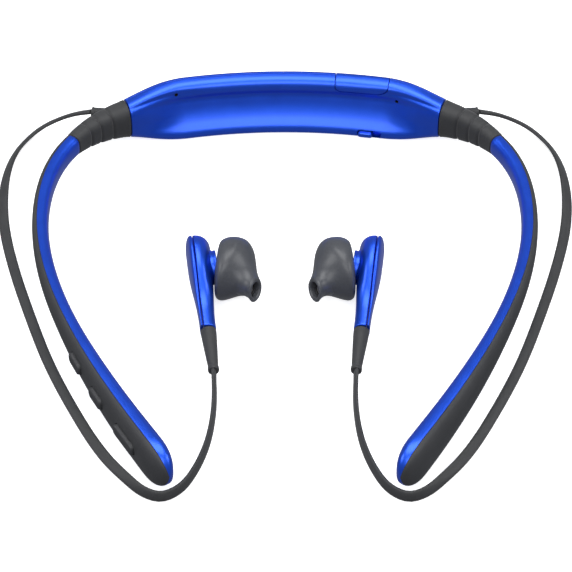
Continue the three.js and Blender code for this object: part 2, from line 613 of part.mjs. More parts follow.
function keyWindows() {
  return KEYS.map(([, place, length]) => {
    const { half, level } = keyStack(place);
    const window = roundedBar(length + 2 * GAP, KEY_HEIGHT + 2 * GAP, ARM_WALL + 3 * CUT, KEY_CORNER + GAP)
      .translate(0, 0, -ARM_WALL - CUT);
    return window.applyMatrix4(frameAt(place - halfLine, half, level));
  });
}

// ---------------------------------------------------------------- earbuds
// half width of the bud's outline and depth of a side, down the stem
function outlineAt(z) {
  const head = Math.sqrt(Math.max(0, HEAD_RADIUS ** 2 - Math.min(z, 0) ** 2));
  const stem = MathUtils.smootherstep(z, 0, STEM_NARROW * STEM_LENGTH);
  return MathUtils.lerp(head, STEM_HALF_WIDTH, stem);
}

function depthAt(z, headDepth, stemDepth) {
  const rise = Math.min(1, Math.sqrt(Math.max(0, (z + HEAD_RADIUS) / (HEAD_RISE * HEAD_RADIUS))));
  return MathUtils.lerp(headDepth, stemDepth, MathUtils.smoothstep(z, 0, STEM_THIN * STEM_LENGTH)) * rise;
}

const HEAD_PLACES = [0.02, 0.1, 0.25, 0.45, 0.7, 1].map((share) => -HEAD_RADIUS * (1 - share));
const STEM_PLACES = [0.12, 0.24, 0.38, 0.52, 0.68, 0.84, 1].map((share) => STEM_LENGTH * share);

// half of the bud on one side of its seam (direction 1 or -1), moved in by wall
function budHalf(direction, headDepth, stemDepth, wall) {
  const top = -HEAD_RADIUS + wall;
  const places = [...HEAD_PLACES, ...STEM_PLACES].map((z) => MathUtils.clamp(z, top, STEM_LENGTH - wall));
  const start = wall > 0 ? -CUT : PARTING / 2;
  const outlines = [];
  const rings = [...new Set(places)].map((z) => {
    const width = Math.max(BUD_LEAST, outlineAt(z) - wall);
    const depth = Math.max(BUD_LEAST, depthAt(z, headDepth, stemDepth) - wall);
    const arc = spread(-90, 90, 9).map((degrees) => {
      const angle = MathUtils.degToRad(degrees);
      const reach = PARTING / 2 + depth * Math.cos(angle) ** BUD_ROUND;
      return new Vector2(direction * reach, width * Math.sin(angle));
    });
    const outline = wall > 0
      ? [new Vector2(direction * start, -width), ...arc, new Vector2(direction * start, width)]
      : arc;
    outlines.push(outline);
    return outline.map((point) => new Vector3(point.x, point.y, z));
  });
  return loft(rings, outlines);
}

// half size of the gel at a share of its length: a round skirt, then a dome down to the tip
function gelHalf(share, full) {
  const before = share < GEL.fullest;
  const swell = before
    ? Math.sqrt(1 - (1 - share / GEL.fullest) ** 2)
    : Math.cos((Math.PI / 2) * Math.min(1, (share - GEL.fullest) / (1 - GEL.fullest))) ** GEL_NARROW;
  return MathUtils.lerp(before ? GEL.mouth : GEL.tip, full, swell);
}

// the middle of the gel's ring at a share of its length, and the ring's turn and lift
function gelRing(share) {
  const tip = new Vector2(NOZZLE.tip.x, NOZZLE.tip.z);
  const early = GEL_MOUTH.clone().lerp(GEL_BEND, share);
  const middle = early.lerp(GEL_BEND.clone().lerp(tip, share), share);
  return {
    middle: new Vector3(middle.x, MathUtils.lerp(GEL.lift, NOZZLE.tip.y, share ** 2), middle.y),
    turn: MathUtils.lerp(GEL_MOUTH_TURN, NOZZLE_TURN, share) + GEL_TWIST * Math.sin(Math.PI * share),
    lift: NOZZLE_LIFT * share ** 2,
  };
}

// axes of a ring or of the nozzle: y along it, z up, with the middle at a point
function turnedFrame(middle, turn, lift) {
  const level = new Vector3(Math.cos(turn), 0, Math.sin(turn));
  const plumb = new Vector3(0, 1, 0);
  const along = level.clone().multiplyScalar(Math.cos(lift)).addScaledVector(plumb, Math.sin(lift));
  const up = plumb.clone().multiplyScalar(Math.cos(lift)).addScaledVector(level, -Math.sin(lift));
  return new Matrix4().makeBasis(new Vector3().crossVectors(along, up), along, up).setPosition(middle);
}

// the gel from its mouth to a share of its length, moved in by depth and run out of its mouth by reach
function gelLoft(end, depth, reach) {
  const outlines = [];
  const shares = spread(0, end, GEL_RINGS);
  const rings = [...(reach > 0 ? [0] : []), ...shares].map((share, k) => {
    const { middle, turn, lift } = gelRing(share);
    const frame = turnedFrame(middle, turn, lift);
    const back = reach > 0 && k === 0 ? -reach : 0;
    const outline = spread(0, 360, 19).slice(0, -1).map((degrees) => {
      const around = MathUtils.degToRad(degrees);
      const wide = gelHalf(share, GEL.wide) - depth;
      const tall = gelHalf(share, GEL.tall) - depth;
      return new Vector2(wide * Math.cos(around), tall * Math.sin(around));
    });
    outlines.push(outline);
    return outline.map((point) => new Vector3(-point.x, back, point.y).applyMatrix4(frame));
  });
  return loft(rings, outlines);
}

function nozzlePiece(radius, length, back, segments = 16) {
  return new CylinderGeometry(radius, radius, length, segments)
    .translate(0, -length / 2 - back, 0).applyMatrix4(turnedFrame(NOZZLE.tip, NOZZLE_TURN, NOZZLE_LIFT));
}

function reliefGeometry() {
  const { length, start, end, rim, out } = RELIEF;
  const profilePoints = [
    [0, 0], [start, 0], [start, 0.12 * length], [end, 0.9 * length], [end + rim, 0.93 * length],
    [end + rim, length], [0, length],
  ].map(([x, y]) => new Vector2(x, y));
  return new LatheGeometry(profilePoints, 14).rotateX(Math.PI / 2).translate(out, 0, STEM_LENGTH + GAP);
}

function neckGeometry() {
  const { radius, flare, at, root, flareFrom, rimFrom, end } = NECK;
  const side = [[0, root], [radius, root], [radius, flareFrom], [flare, rimFrom], [flare, end], [0, end]];
  const neck = new LatheGeometry(side.map(([x, y]) => new Vector2(x, y)), 18);
  return neck.rotateZ(-Math.PI / 2).translate(0, 0, at);
}

function budPieces() {
  const cap = subtract(
    budHalf(-1, CAP_DEPTH, CAP_STEM_DEPTH, 0),
    budHalf(-1, CAP_DEPTH, CAP_STEM_DEPTH + CAP_CLEAR, BUD_WALL),
  );
  const bodyShell = join(budHalf(1, BODY_DEPTH, BODY_STEM_DEPTH, 0), neckGeometry());
  const rootBore = nozzlePiece(NOZZLE.radius + GAP, NOZZLE.length + CUT, NOZZLE.back);
  const body = subtract(bodyShell, budHalf(1, BODY_DEPTH, BODY_STEM_DEPTH, BUD_WALL), rootBore);

  const nozzle = subtract(
    nozzlePiece(NOZZLE.radius, NOZZLE.length, NOZZLE.back),
    nozzlePiece(NOZZLE.bore, NOZZLE.length + 2 * CUT, NOZZLE.back - CUT),
  );
  const screen = nozzlePiece(NOZZLE.bore - SCREEN.clear, SCREEN.thickness, SCREEN.back);
  const seat = NOZZLE.radius + GAP;
  const tube = nozzlePiece(seat + GEL.wall, NOZZLE.length - GEL_TUBE.short, GEL_TUBE.back, 18);
  const bore = nozzlePiece(seat, NOZZLE.length + 4 * CUT, -CUT, 18);
  const hollow = subtract(gelLoft(1, 0, 0), gelLoft(GEL_HOLLOW, GEL.wall, CUT));
  const gel = subtract(join(hollow, tube), bore);

  const disc = (radius, thickness) => new CylinderGeometry(radius, radius, thickness, 20).rotateZ(Math.PI / 2);
  const driver = disc(DRIVER.radius, DRIVER.thickness);
  const magnet = disc(DRIVER.magnet, DRIVER.magnetThickness);
  return [
    ['bud_cap', 'blue', cap],
    ['bud_body', 'blue', body],
    ['nozzle', 'black', nozzle],
    ['nozzle_screen', 'steel', screen],
    ['driver', 'steel', driver.translate(PARTING + DRIVER.thickness / 2, 0, 0)],
    ['driver_magnet', 'black', magnet.translate(-PARTING - DRIVER.magnetThickness / 2, 0, 0)],
    ['ear_gel', 'silicone', gel],
    ['strain_relief', 'rubber', reliefGeometry()],
  ];
}

// the right bud's axes in the model
function budFrame() {
  const inwards = new Vector3(1, 0, 0);
  const towardsGel = inwards.addScaledVector(STEM_DIRECTION, -inwards.dot(STEM_DIRECTION)).normalize();
  const up = new Vector3().crossVectors(STEM_DIRECTION, towardsGel);
  return new Matrix4().makeBasis(towardsGel, up, STEM_DIRECTION).setPosition(BUD_AT);
}

function addBuds() {
  const frame = budFrame();
  for (const [name, material, geometry] of budPieces()) {
    const placed = geometry.clone().applyMatrix4(frame);
    addPiece(`right_${name}`, material, placed);
    addPiece(`left_${name}`, material, mirrored(placed));
  }
}

function addCords() {
  const route = new CatmullRomCurve3(CORD_ROUTE.map(([x, y, z]) => new Vector3(x, y, z)), false, 'centripetal');
  const section = new Shape();
  section.absellipse(0, 0, CORD_WIDTH / 2, CORD_THICKNESS / 2, 0, 2 * Math.PI);
  const steps = Math.round(route.getLength() / CORD_STEP);
  const settings = { steps, curveSegments: 4, bevelEnabled: false, extrudePath: route };
  const cord = new ExtrudeGeometry(section, settings);
  addPiece('left_cord', 'rubber', cord);
  addPiece('right_cord', 'rubber', mirrored(cord));
}

addHousing();
addSocket();
addBattery();
addElectronics();
addPowerSwitch();
addSleeve('right', -1);
addSleeve('left', 1);
addArm('right', -1, keyWindows());
addArm('left', 1, []);
addKeys();
addBuds();
addCords();

export default model;
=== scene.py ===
"""Neckband earphones: the looks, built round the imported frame. Metres, in the frame's own axes."""

import json
import math

import bpy
import numpy as np
from mathutils import Matrix, Vector


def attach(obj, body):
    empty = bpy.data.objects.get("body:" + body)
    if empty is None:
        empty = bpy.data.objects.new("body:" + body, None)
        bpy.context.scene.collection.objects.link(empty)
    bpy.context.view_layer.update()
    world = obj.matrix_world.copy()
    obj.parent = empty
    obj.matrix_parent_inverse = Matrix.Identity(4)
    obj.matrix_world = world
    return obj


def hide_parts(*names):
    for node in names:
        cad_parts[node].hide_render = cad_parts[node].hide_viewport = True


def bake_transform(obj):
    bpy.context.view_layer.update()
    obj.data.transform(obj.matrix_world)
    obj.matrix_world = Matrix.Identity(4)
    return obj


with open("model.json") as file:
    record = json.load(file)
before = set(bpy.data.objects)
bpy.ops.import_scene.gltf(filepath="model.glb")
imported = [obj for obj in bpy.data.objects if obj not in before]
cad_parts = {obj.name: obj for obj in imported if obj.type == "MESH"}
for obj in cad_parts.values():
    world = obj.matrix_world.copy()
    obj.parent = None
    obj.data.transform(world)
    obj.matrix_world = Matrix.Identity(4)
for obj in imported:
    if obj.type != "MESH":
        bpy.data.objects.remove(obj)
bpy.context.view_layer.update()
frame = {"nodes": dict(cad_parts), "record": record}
MM = 0.001
SIDES = (("right", -1), ("left", 1))

# ---------------------------------------------------------------- camera, floor and light
TARGET = Vector((0.0003, -0.0065, 0.008))
ELEVATION = math.radians(42.4)
DISTANCE = 1.0
FOCAL_LENGTH = 216.8

camera_data = bpy.data.cameras.new("camera")
camera_data.sensor_width = 36
camera_data.lens = FOCAL_LENGTH
camera = bpy.data.objects.new("camera", camera_data)
bpy.context.scene.collection.objects.link(camera)
backwards = Vector((0, -math.cos(ELEVATION), math.sin(ELEVATION)))
camera.location = TARGET + DISTANCE * backwards
camera.rotation_euler = (math.pi / 2 - ELEVATION, 0, 0)
bpy.context.scene.camera = camera
bpy.context.scene.view_settings.view_transform = "Standard"


def add_light(name, size, at, towards, power):
    data = bpy.data.lights.new(name, "AREA")
    data.shape = "RECTANGLE"
    data.size, data.size_y = size
    data.energy = power
    lamp = bpy.data.objects.new(name, data)
    lamp.location = at
    lamp.rotation_euler = (Vector(towards) - Vector(at)).to_track_quat("-Z", "Y").to_euler()
    bpy.context.scene.collection.objects.link(lamp)


add_light("top_softbox", (1.2, 0.7), (0, 0.15, 1.0), (0, 0, 0), 9.0)
add_light("front_softbox", (1.5, 0.7), (0, -0.95, 1.1), (0, 0, 0.01), 9.0)
for side in (-1, 1):
    add_light("side_softbox", (0.6, 0.5), (side * 1.2, -0.1, 0.75), (0, 0, 0.01), 4.0)

world = bpy.data.worlds.new("studio")
world.use_nodes = True
world.node_tree.nodes["Background"].inputs["Color"].default_value = (0.9, 0.93, 1.0, 1)
world.node_tree.nodes["Background"].inputs["Strength"].default_value = 0.3
bpy.context.scene.world = world


# ---------------------------------------------------------------- materials
def new_material(name):
    made = bpy.data.materials.new(name)
    made.use_nodes = True
    return made, made.node_tree.nodes, made.node_tree.links


def noise_node(nodes, links, coords, size, detail=3.0, stretch=(1, 1, 1)):
    """Noise whose features are about size across, over the object's own coordinates."""
    place = nodes.new("ShaderNodeMapping")
    place.inputs["Scale"].default_value = stretch
    links.new(coords.outputs["Object"], place.inputs["Vector"])
    noise = nodes.new("ShaderNodeTexNoise")
    noise.inputs["Scale"].default_value = 1 / size
    noise.inputs["Detail"].default_value = detail
    links.new(place.outputs["Vector"], noise.inputs["Vector"])
    return noise


def ranged(nodes, links, source, low, high):
    """source, from 0.3 to 0.7, as a value from low to high."""
    mapped = nodes.new("ShaderNodeMapRange")
    mapped.inputs["From Min"].default_value = 0.3
    mapped.inputs["From Max"].default_value = 0.7
    mapped.inputs["To Min"].default_value = low
    mapped.inputs["To Max"].default_value = high
    links.new(source, mapped.inputs["Value"])
    return mapped.outputs["Result"]


def finish_material(name, dark, light, roughness, metallic=0.0, grain=0.25, patch=6.0, bump=0.02,
                    bump_strength=0.3, coat=0.0, coat_roughness=0.1, specular=0.5, sheen=0.0,
                    subsurface=0.0, stretch=(1, 1, 1)):
    """A moulded surface: two close colours mixed by fine grain and broad patches, and a fine bump.
    Lengths are in millimetres; roughness is its lowest and highest value."""
    made, nodes, links = new_material(name)
    shader = nodes["Principled BSDF"]
    coords = nodes.new("ShaderNodeTexCoord")
    fine = noise_node(nodes, links, coords, grain * MM, stretch=stretch)
    broad = noise_node(nodes, links, coords, patch * MM, 2.0)
    both = nodes.new("ShaderNodeMix")
    both.inputs["Factor"].default_value = 0.4
    links.new(fine.outputs["Fac"], both.inputs["A"])
    links.new(broad.outputs["Fac"], both.inputs["B"])
    ramp = nodes.new("ShaderNodeValToRGB")
    ramp.color_ramp.elements[0].position = 0.3
    ramp.color_ramp.elements[0].color = (*dark, 1)
    ramp.color_ramp.elements[1].position = 0.7
    ramp.color_ramp.elements[1].color = (*light, 1)
    links.new(both.outputs["Result"], ramp.inputs["Fac"])
    links.new(ramp.outputs["Color"], shader.inputs["Base Color"])
    links.new(ranged(nodes, links, both.outputs["Result"], *roughness), shader.inputs["Roughness"])
    relief = nodes.new("ShaderNodeBump")
    relief.inputs["Distance"].default_value = bump * MM
    relief.inputs["Strength"].default_value = bump_strength
    links.new(fine.outputs["Fac"], relief.inputs["Height"])
    links.new(relief.outputs["Normal"], shader.inputs["Normal"])
    shader.inputs["Metallic"].default_value = metallic
    shader.inputs["Coat Weight"].default_value = coat
    shader.inputs["Coat Roughness"].default_value = coat_roughness
    shader.inputs["Specular IOR Level"].default_value = specular
    shader.inputs["Sheen Weight"].default_value = sheen
    shader.inputs["Subsurface Weight"].default_value = subsurface
    shader.inputs["Subsurface Radius"].default_value = (0.002, 0.002, 0.002)
    return made


BLUE = finish_material("blue_lacquer", (0.006, 0.080, 0.72), (0.010, 0.100, 0.82), (0.34, 0.42),
                       metallic=0.85, grain=0.12, bump=0.004, coat=0.55, coat_roughness=0.24)
GRAPHITE = finish_material("graphite_plastic", (0.030, 0.031, 0.034), (0.046, 0.047, 0.051),
                           (0.50, 0.62), grain=0.16, bump=0.02)
SLEEVE = finish_material("sleeve_rubber", (0.018, 0.0185, 0.020), (0.030, 0.031, 0.033), (0.55, 0.70),
                         grain=0.22, bump=0.03, sheen=0.15)
CORD = finish_material("cord_rubber", (0.020, 0.0205, 0.022), (0.034, 0.035, 0.037), (0.46, 0.60),
                       grain=0.35, bump=0.02, sheen=0.1)
SILICONE = finish_material("ear_silicone", (0.056, 0.059, 0.067), (0.074, 0.078, 0.087), (0.30, 0.40),
                           grain=0.5, bump=0.008, subsurface=0.06)
BLACK = finish_material("black_plastic", (0.006, 0.006, 0.007), (0.012, 0.012, 0.013), (0.40, 0.55),
                        grain=0.2)
STEEL = finish_material("brushed_steel", (0.42, 0.42, 0.43), (0.60, 0.60, 0.61), (0.24, 0.40),
                        metallic=1.0, grain=0.3, stretch=(1, 12, 12))
FOIL = finish_material("cell_foil", (0.44, 0.45, 0.47), (0.62, 0.63, 0.65), (0.25, 0.5),
                       metallic=0.9, grain=1.2, bump=0.08)
BOARD = finish_material("board_mask", (0.006, 0.070, 0.026), (0.012, 0.130, 0.045), (0.30, 0.45),
                        grain=0.7, bump=0.05)
MATERIALS = {
    "blue_shell": BLUE, "graphite_shell": GRAPHITE, "sleeve_rubber": SLEEVE, "cord_rubber": CORD,
    "ear_silicone": SILICONE, "black_plastic": BLACK, "steel": STEEL, "cell_foil": FOIL, "board": BOARD,
}


def floor_material():
    made, nodes, links = new_material("pale_floor")
    shader = nodes["Principled BSDF"]
    coords = nodes.new("ShaderNodeTexCoord")
    noise = noise_node(nodes, links, coords, 0.2, 1.0)
    ramp = nodes.new("ShaderNodeValToRGB")
    ramp.color_ramp.elements[0].color = (0.84, 0.84, 0.84, 1)
    ramp.color_ramp.elements[1].color = (0.86, 0.86, 0.86, 1)
    links.new(noise.outputs["Fac"], ramp.inputs["Fac"])
    links.new(ramp.outputs["Color"], shader.inputs["Base Color"])
    shader.inputs["Roughness"].default_value = 0.9
    shader.inputs["Specular IOR Level"].default_value = 0.0
    shader.inputs["Emission Color"].default_value = (1, 1, 1, 1)
    shader.inputs["Emission Strength"].default_value = 0.75
    return made


# ---------------------------------------------------------------- mesh building
def add_mesh(name, points, faces, material, sharp=35):
    mesh = bpy.data.meshes.new(name)
    mesh.from_pydata([tuple(map(float, p)) for p in points], [], faces)
    mesh.materials.append(material)
    mesh.validate()
    mesh.shade_smooth()
    mesh.set_sharp_from_angle(angle=math.radians(sharp))
    piece = bpy.data.objects.new(name, mesh)
    bpy.context.scene.collection.objects.link(piece)
    return piece


def place(piece, body, *nodes):
    """The piece rides on a body and stands for CAD nodes."""
    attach(piece, body)
    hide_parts(*nodes)
    return piece


def tube_faces(rings, count, closed=False):
    """Quads between rings of count points; closed joins the last ring to the first."""
    faces = []
    for k in range(rings if closed else rings - 1):
        here, there = k * count, ((k + 1) % rings) * count
        for i in range(count):
            j = (i + 1) % count
            faces.append((here + i, here + j, there + j, there + i))
    return faces


def lofted(name, rings, material, slot, caps="fan", sharp=35, closed=False):
    """A closed body through rings of equal length. caps is fan, or wall for a folded strip."""
    rings = np.asarray(rings, float)
    count = rings.shape[1]
    faces = tube_faces(len(rings), count, closed)
    points = [tuple(p) for p in rings.reshape(-1, 3)]
    last = (len(rings) - 1) * count
    if not closed and caps == "wall":
        for i in range(count // 2 - 1):
            a, b, c, d = i, i + 1, count - 2 - i, count - 1 - i
            faces.append((d, c, b, a))
            faces.append((last + a, last + b, last + c, last + d))
    elif not closed:
        for start, step in ((0, -1), (last, 1)):
            points.append(tuple(rings.reshape(-1, 3)[start:start + count].mean(axis=0)))
            middle = len(points) - 1
            for i in range(count):
                j = (i + 1) % count
                pair = (start + i, start + j) if step > 0 else (start + j, start + i)
                faces.append((*pair, middle))
    piece = add_mesh(name, points, faces, material, sharp)
    outwards(piece)
    return piece


def outwards(piece):
    """Faces of a closed mesh turned to face out."""
    mesh = piece.data
    volume = 0.0
    co = np.array([v.co for v in mesh.vertices])
    for polygon in mesh.polygons:
        corners = co[list(polygon.vertices)]
        for k in range(1, len(corners) - 1):
            volume += np.dot(corners[0], np.cross(corners[k], corners[k + 1]))
    if volume < 0:
        mesh.flip_normals()


def with_modifier(piece, kind, **settings):
    """The piece's mesh after one modifier, with nothing left to apply."""
    modifier = piece.modifiers.new(kind.lower(), kind)
    for key, value in settings.items():
        setattr(modifier, key, value)
    bpy.context.view_layer.update()
    evaluated = piece.evaluated_get(bpy.context.evaluated_depsgraph_get())
    mesh = bpy.data.meshes.new_from_object(evaluated)
    piece.modifiers.clear()
    old = piece.data
    piece.data = mesh
    bpy.data.meshes.remove(old)
    return piece


def cut(piece, *cutters):
    """The piece with each cutter taken out of it; the cutters are used up."""
    for cutter in cutters:
        with_modifier(piece, "BOOLEAN", operation="DIFFERENCE", object=cutter, solver="MANIFOLD")
        bpy.data.objects.remove(cutter)
    piece.data.shade_smooth()
    piece.data.set_sharp_from_angle(angle=math.radians(35))
    return piece


def smoothstep(x, low, high):
    t = np.clip((x - low) / (high - low), 0, 1)
    return t * t * (3 - 2 * t)


def through(points, steps=40):
    """A centripetal curve through points: steps rows for each stretch between two of them."""
    p = np.asarray(points, float)
    p = np.vstack([2 * p[0] - p[1], p, 2 * p[-1] - p[-2]])
    w = np.linspace(0, 1, steps, endpoint=False)[:, None]
    rows = []
    for p0, p1, p2, p3 in zip(p[:-3], p[1:-2], p[2:-1], p[3:]):
        d0, d1, d2 = (np.linalg.norm(b - a) ** 0.5 for a, b in ((p0, p1), (p1, p2), (p2, p3)))
        start = ((p1 - p0) / d0 - (p2 - p0) / (d0 + d1) + (p2 - p1) / d1) * d1
        end = ((p2 - p1) / d1 - (p3 - p1) / (d1 + d2) + (p3 - p2) / d2) * d1
        rows.append(p1 + start * w + (3 * (p2 - p1) - 2 * start - end) * w ** 2
                    + (2 * (p1 - p2) + start + end) * w ** 3)
    rows.append(p[-2][None])
    return np.vstack(rows)


def eased(rows, reach, closed=False):
    """Rows averaged with their neighbours over about reach rows; open ends stay where they are."""
    span = int(3 * reach)
    kernel = np.exp(-0.5 * (np.arange(-span, span + 1) / reach) ** 2)
    kernel /= kernel.sum()
    if closed:
        wide = np.vstack([rows[-span:], rows, rows[:span]])
    else:
        wide = np.vstack([2 * rows[0] - rows[span:0:-1], rows, 2 * rows[-1] - rows[-2:-span - 2:-1]])
    return np.stack([np.convolve(column, kernel, mode="valid") for column in wide.T], axis=1)


def by_length(rows, step):
    """The same line with its rows an even step apart."""
    lengths = np.concatenate([[0], np.cumsum(np.linalg.norm(np.diff(rows, axis=0), axis=1))])
    count = max(2, round(lengths[-1] / step) + 1)
    even = np.linspace(0, lengths[-1], count)
    return np.stack([np.interp(even, lengths, column) for column in rows.T], axis=1), lengths[-1]


# ---------------------------------------------------------------- the band, as part.mjs has it
OVERALL_WIDTH = 150 * MM
OVERALL_LENGTH = 167.6 * MM
HOUSING_HEIGHT = 16.9 * MM
HOUSING_BACK = 6.8 * MM
HOUSING_LIP = 5.2 * MM
HOUSING_HALF = 49 * MM
SLEEVE_LENGTH = 20.4 * MM
WALL = 1.3 * MM
ARM_WALL = 1.0 * MM
GAP = 0.3 * MM
PARTING = 0.22 * MM
EDGE = 0.22 * MM
ARM_THICKNESS = ((0, 5.2), (0.25, 4.9), (0.55, 5.3), (0.72, 6.5), (0.9, 7.4), (1, 7.4))
ARM_HEIGHT = ((0, 7.0), (0.25, 6.8), (0.55, 9.6), (0.72, 12.6), (0.9, 14.6), (1, 14.6))
SLEEVE_REAR = (8.6, 11.8)
ARM_LEVEL = 8.45 * MM
TIP_LEVEL = 7.6 * MM
TIP_ROUND = 10 * MM
BLADE_POWER = 2.7
SPLIT = 0.38
BACK_HALF = 46 * MM               # half width of the band's gently curved back
BACK_DROP = 6.75 * MM             # how far the ends of that curve lie in front of its middle
WIDEST_FROM_BACK = 53 * MM        # from the line's back to its widest place
SHOULDER_EASE = (16 * MM, 28 * MM)
ARM_EASE = (35 * MM, 40 * MM)
TIP_HALF = 31.6 * MM
TIP_LEAN = math.radians(31)


def bezier(points, steps=300):
    """A smooth curve that leaves its first point towards the second and ends at its last."""
    w = np.linspace(0, 1, steps)[:, None]
    rows = [np.broadcast_to(np.asarray(p, float), (steps, 2)) for p in points]
    while len(rows) > 1:
        rows = [a * (1 - w) + b * w for a, b in zip(rows[:-1], rows[1:])]
    return rows[0]


def heading(start, angle, distance):
    """A point some way from another, at an angle turned from +x towards -y."""
    return (start[0] + distance * math.cos(angle), start[1] - distance * math.sin(angle))


# Five curves that run into each other: an arm, a shoulder, the back, a shoulder and an arm.
LINE_STEP = 0.25 * MM
WIDEST_THICKNESS = 4.9 * MM
line_back = OVERALL_LENGTH / 2 - HOUSING_BACK
back_end = (BACK_HALF, line_back - BACK_DROP)
back_slope = math.atan(2 * BACK_DROP / BACK_HALF)
widest = ((OVERALL_WIDTH - WIDEST_THICKNESS) / 2, line_back - WIDEST_FROM_BACK)
line_tip = (TIP_HALF, -OVERALL_LENGTH / 2)
shoulder = bezier((back_end, heading(back_end, back_slope, SHOULDER_EASE[0]),
                   heading(widest, math.pi / 2, -SHOULDER_EASE[1]), widest))
arm = bezier((widest, heading(widest, math.pi / 2, ARM_EASE[0]),
              heading(line_tip, math.pi / 2 + TIP_LEAN, -ARM_EASE[1]), line_tip))
back = bezier(((-BACK_HALF, back_end[1]), (0, line_back + BACK_DROP), back_end))
left_half = np.vstack([shoulder[1:], arm[1:]])
line, _ = by_length(np.vstack([(left_half * (-1, 1))[::-1], back, left_half]), LINE_STEP)
line, line_length = by_length(eased(line, 4 * MM / LINE_STEP), LINE_STEP)
half_line = line_length / 2
line_places = np.linspace(-half_line, half_line, len(line))
line_along = np.gradient(line, axis=0)
line_along /= np.linalg.norm(line_along, axis=1)[:, None]

sleeve_start = HOUSING_HALF + GAP
sleeve_end = sleeve_start + SLEEVE_LENGTH
arm_start = sleeve_end + GAP
arm_length = half_line - arm_start


def station(distance):
    """Place on the band's line and its directions along and outwards, as plan vectors."""
    at = np.array([np.interp(distance, line_places, column) for column in line.T])
    along = np.array([np.interp(distance, line_places, column) for column in line_along.T])
    along /= np.linalg.norm(along)
    return at, along, np.array([-along[1], along[0]])


def lifted(distance, flat):
    """Section points (out, height) at a place along the band, as points of the model."""
    at, _, out = station(distance)
    plan = at + np.asarray(flat)[:, :1] * out
    return np.column_stack([plan, np.asarray(flat)[:, 1]])


def eased_profile(pairs):
    """Straight stretches between pairs, with their corners eased."""
    places = np.linspace(0, 1, 401)
    values = np.interp(places, *zip(*pairs))
    return places, eased(values[:, None], 16)[:, 0] * MM


thickness_profile = eased_profile(ARM_THICKNESS)
height_profile = eased_profile(ARM_HEIGHT)

BACK, LIP, TALL = HOUSING_BACK, -HOUSING_LIP, HOUSING_HEIGHT
OUTER_SIDE = (
    (0.6 * BACK, TALL), (0.73 * BACK, TALL - 0.2 * MM), (0.88 * BACK, TALL - 1.2 * MM),
    (BACK, TALL - 3.6 * MM),
    (0.94 * BACK, 0.56 * TALL), (0.7 * BACK, 0.27 * TALL), (0.32 * BACK, 0.07 * TALL), (0.02 * BACK, 0),
)
INNER_SIDE = (
    (0.02 * BACK, 0), (0.4 * LIP, -0.2 * MM), (0.82 * LIP, 0), (LIP, 0.06 * TALL), (0.94 * LIP, 0.16 * TALL),
    (0.56 * LIP, 0.29 * TALL), (0.22 * LIP, 0.44 * TALL), (0, 0.57 * TALL), (-0.12 * LIP, 0.67 * TALL),
    (-0.02 * LIP, 0.8 * TALL), (-0.1 * LIP, 0.9 * TALL), (-0.36 * LIP, TALL - 0.5 * MM), (0.6 * BACK, TALL),
)
LOOP_ROWS = 400


def side_rows(points):
    rows = through(points)
    share = np.linspace(0, 1, len(rows))
    even = np.linspace(0, 1, LOOP_ROWS, endpoint=False)
    return np.stack([np.interp(even, share, column) for column in rows.T], axis=1)


# The whole outline is one loop: 0 to 1 is the outer side from the top to the bottom, 1 to 2 the inner.
loop = np.vstack([side_rows(OUTER_SIDE), side_rows(INNER_SIDE)])
loop = eased(loop, 5, closed=True)
loop[:, 1] = np.maximum(loop[:, 1], 0)
loop_run = eased(np.gradient(np.vstack([loop[-1:], loop, loop[:1]]), axis=0)[1:-1], 5, closed=True)
loop_in = np.column_stack([loop_run[:, 1], -loop_run[:, 0]])
loop_in /= np.linalg.norm(loop_in, axis=1)[:, None]
loop_w = np.arange(2 * LOOP_ROWS) / LOOP_ROWS


def on_loop(table, w):
    return np.stack([np.interp(w, loop_w, column, period=2) for column in table.T], axis=1)


def blade_size(distance):
    """Half thickness, half height and level of the sleeve or the arm."""
    if distance < arm_start:
        share = np.clip((distance - HOUSING_HALF) / (arm_start - HOUSING_HALF), -0.6, 1)
        half = (SLEEVE_REAR[0] * (1 - share) + ARM_THICKNESS[0][1] * share) / 2 * MM
        tall = (SLEEVE_REAR[1] * (1 - share) + ARM_HEIGHT[0][1] * share) / 2 * MM
        return half, tall, ARM_LEVEL
    share = (distance - arm_start) / arm_length
    into_tip = max(0.0, distance - (half_line - TIP_ROUND)) / TIP_ROUND
    rounding = math.sqrt(max(0.0004, 1 - into_tip ** 2.4))
    half = np.interp(share, *thickness_profile) / 2 * rounding
    tall = np.interp(share, *height_profile) / 2 * rounding
    level = ARM_LEVEL + (TIP_LEVEL - ARM_LEVEL) * smoothstep(share, 0.5, 0.88)
    return half, tall, float(level)


def blade(w, distance, depth):
    half, tall, level = blade_size(distance)
    split = math.asin(SPLIT ** (BLADE_POWER / 2))
    turn = np.interp(w % 2, (0, 1, 2), (split, math.pi - split, 2 * math.pi + split))
    power = 2 / BLADE_POWER
    x = np.sign(np.sin(turn)) * np.abs(np.sin(turn)) ** power
    z = np.sign(np.cos(turn)) * np.abs(np.cos(turn)) ** power
    depth = np.minimum(depth, 0.6 * min(half, tall))
    return np.column_stack([(half - depth) * x, level + (tall - depth) * z])


# a shallow groove under the top ridge near each end of the housing, which makes a second ridge
GROOVE_AT = 1.775
GROOVE_HALF = 0.045
GROOVE_DEPTH = 0.55 * MM


def groove(w, distance):
    far = abs(distance)
    ease_out = 1 - 0.5 * smoothstep(far, 0.85 * HOUSING_HALF, HOUSING_HALF)
    fade = smoothstep(far, 0.42 * HOUSING_HALF, 0.8 * HOUSING_HALF) * ease_out
    fade = fade * (far < HOUSING_HALF + GAP / 2)
    return GROOVE_DEPTH * fade * np.exp(-((w % 2 - GROOVE_AT) / GROOVE_HALF) ** 2)


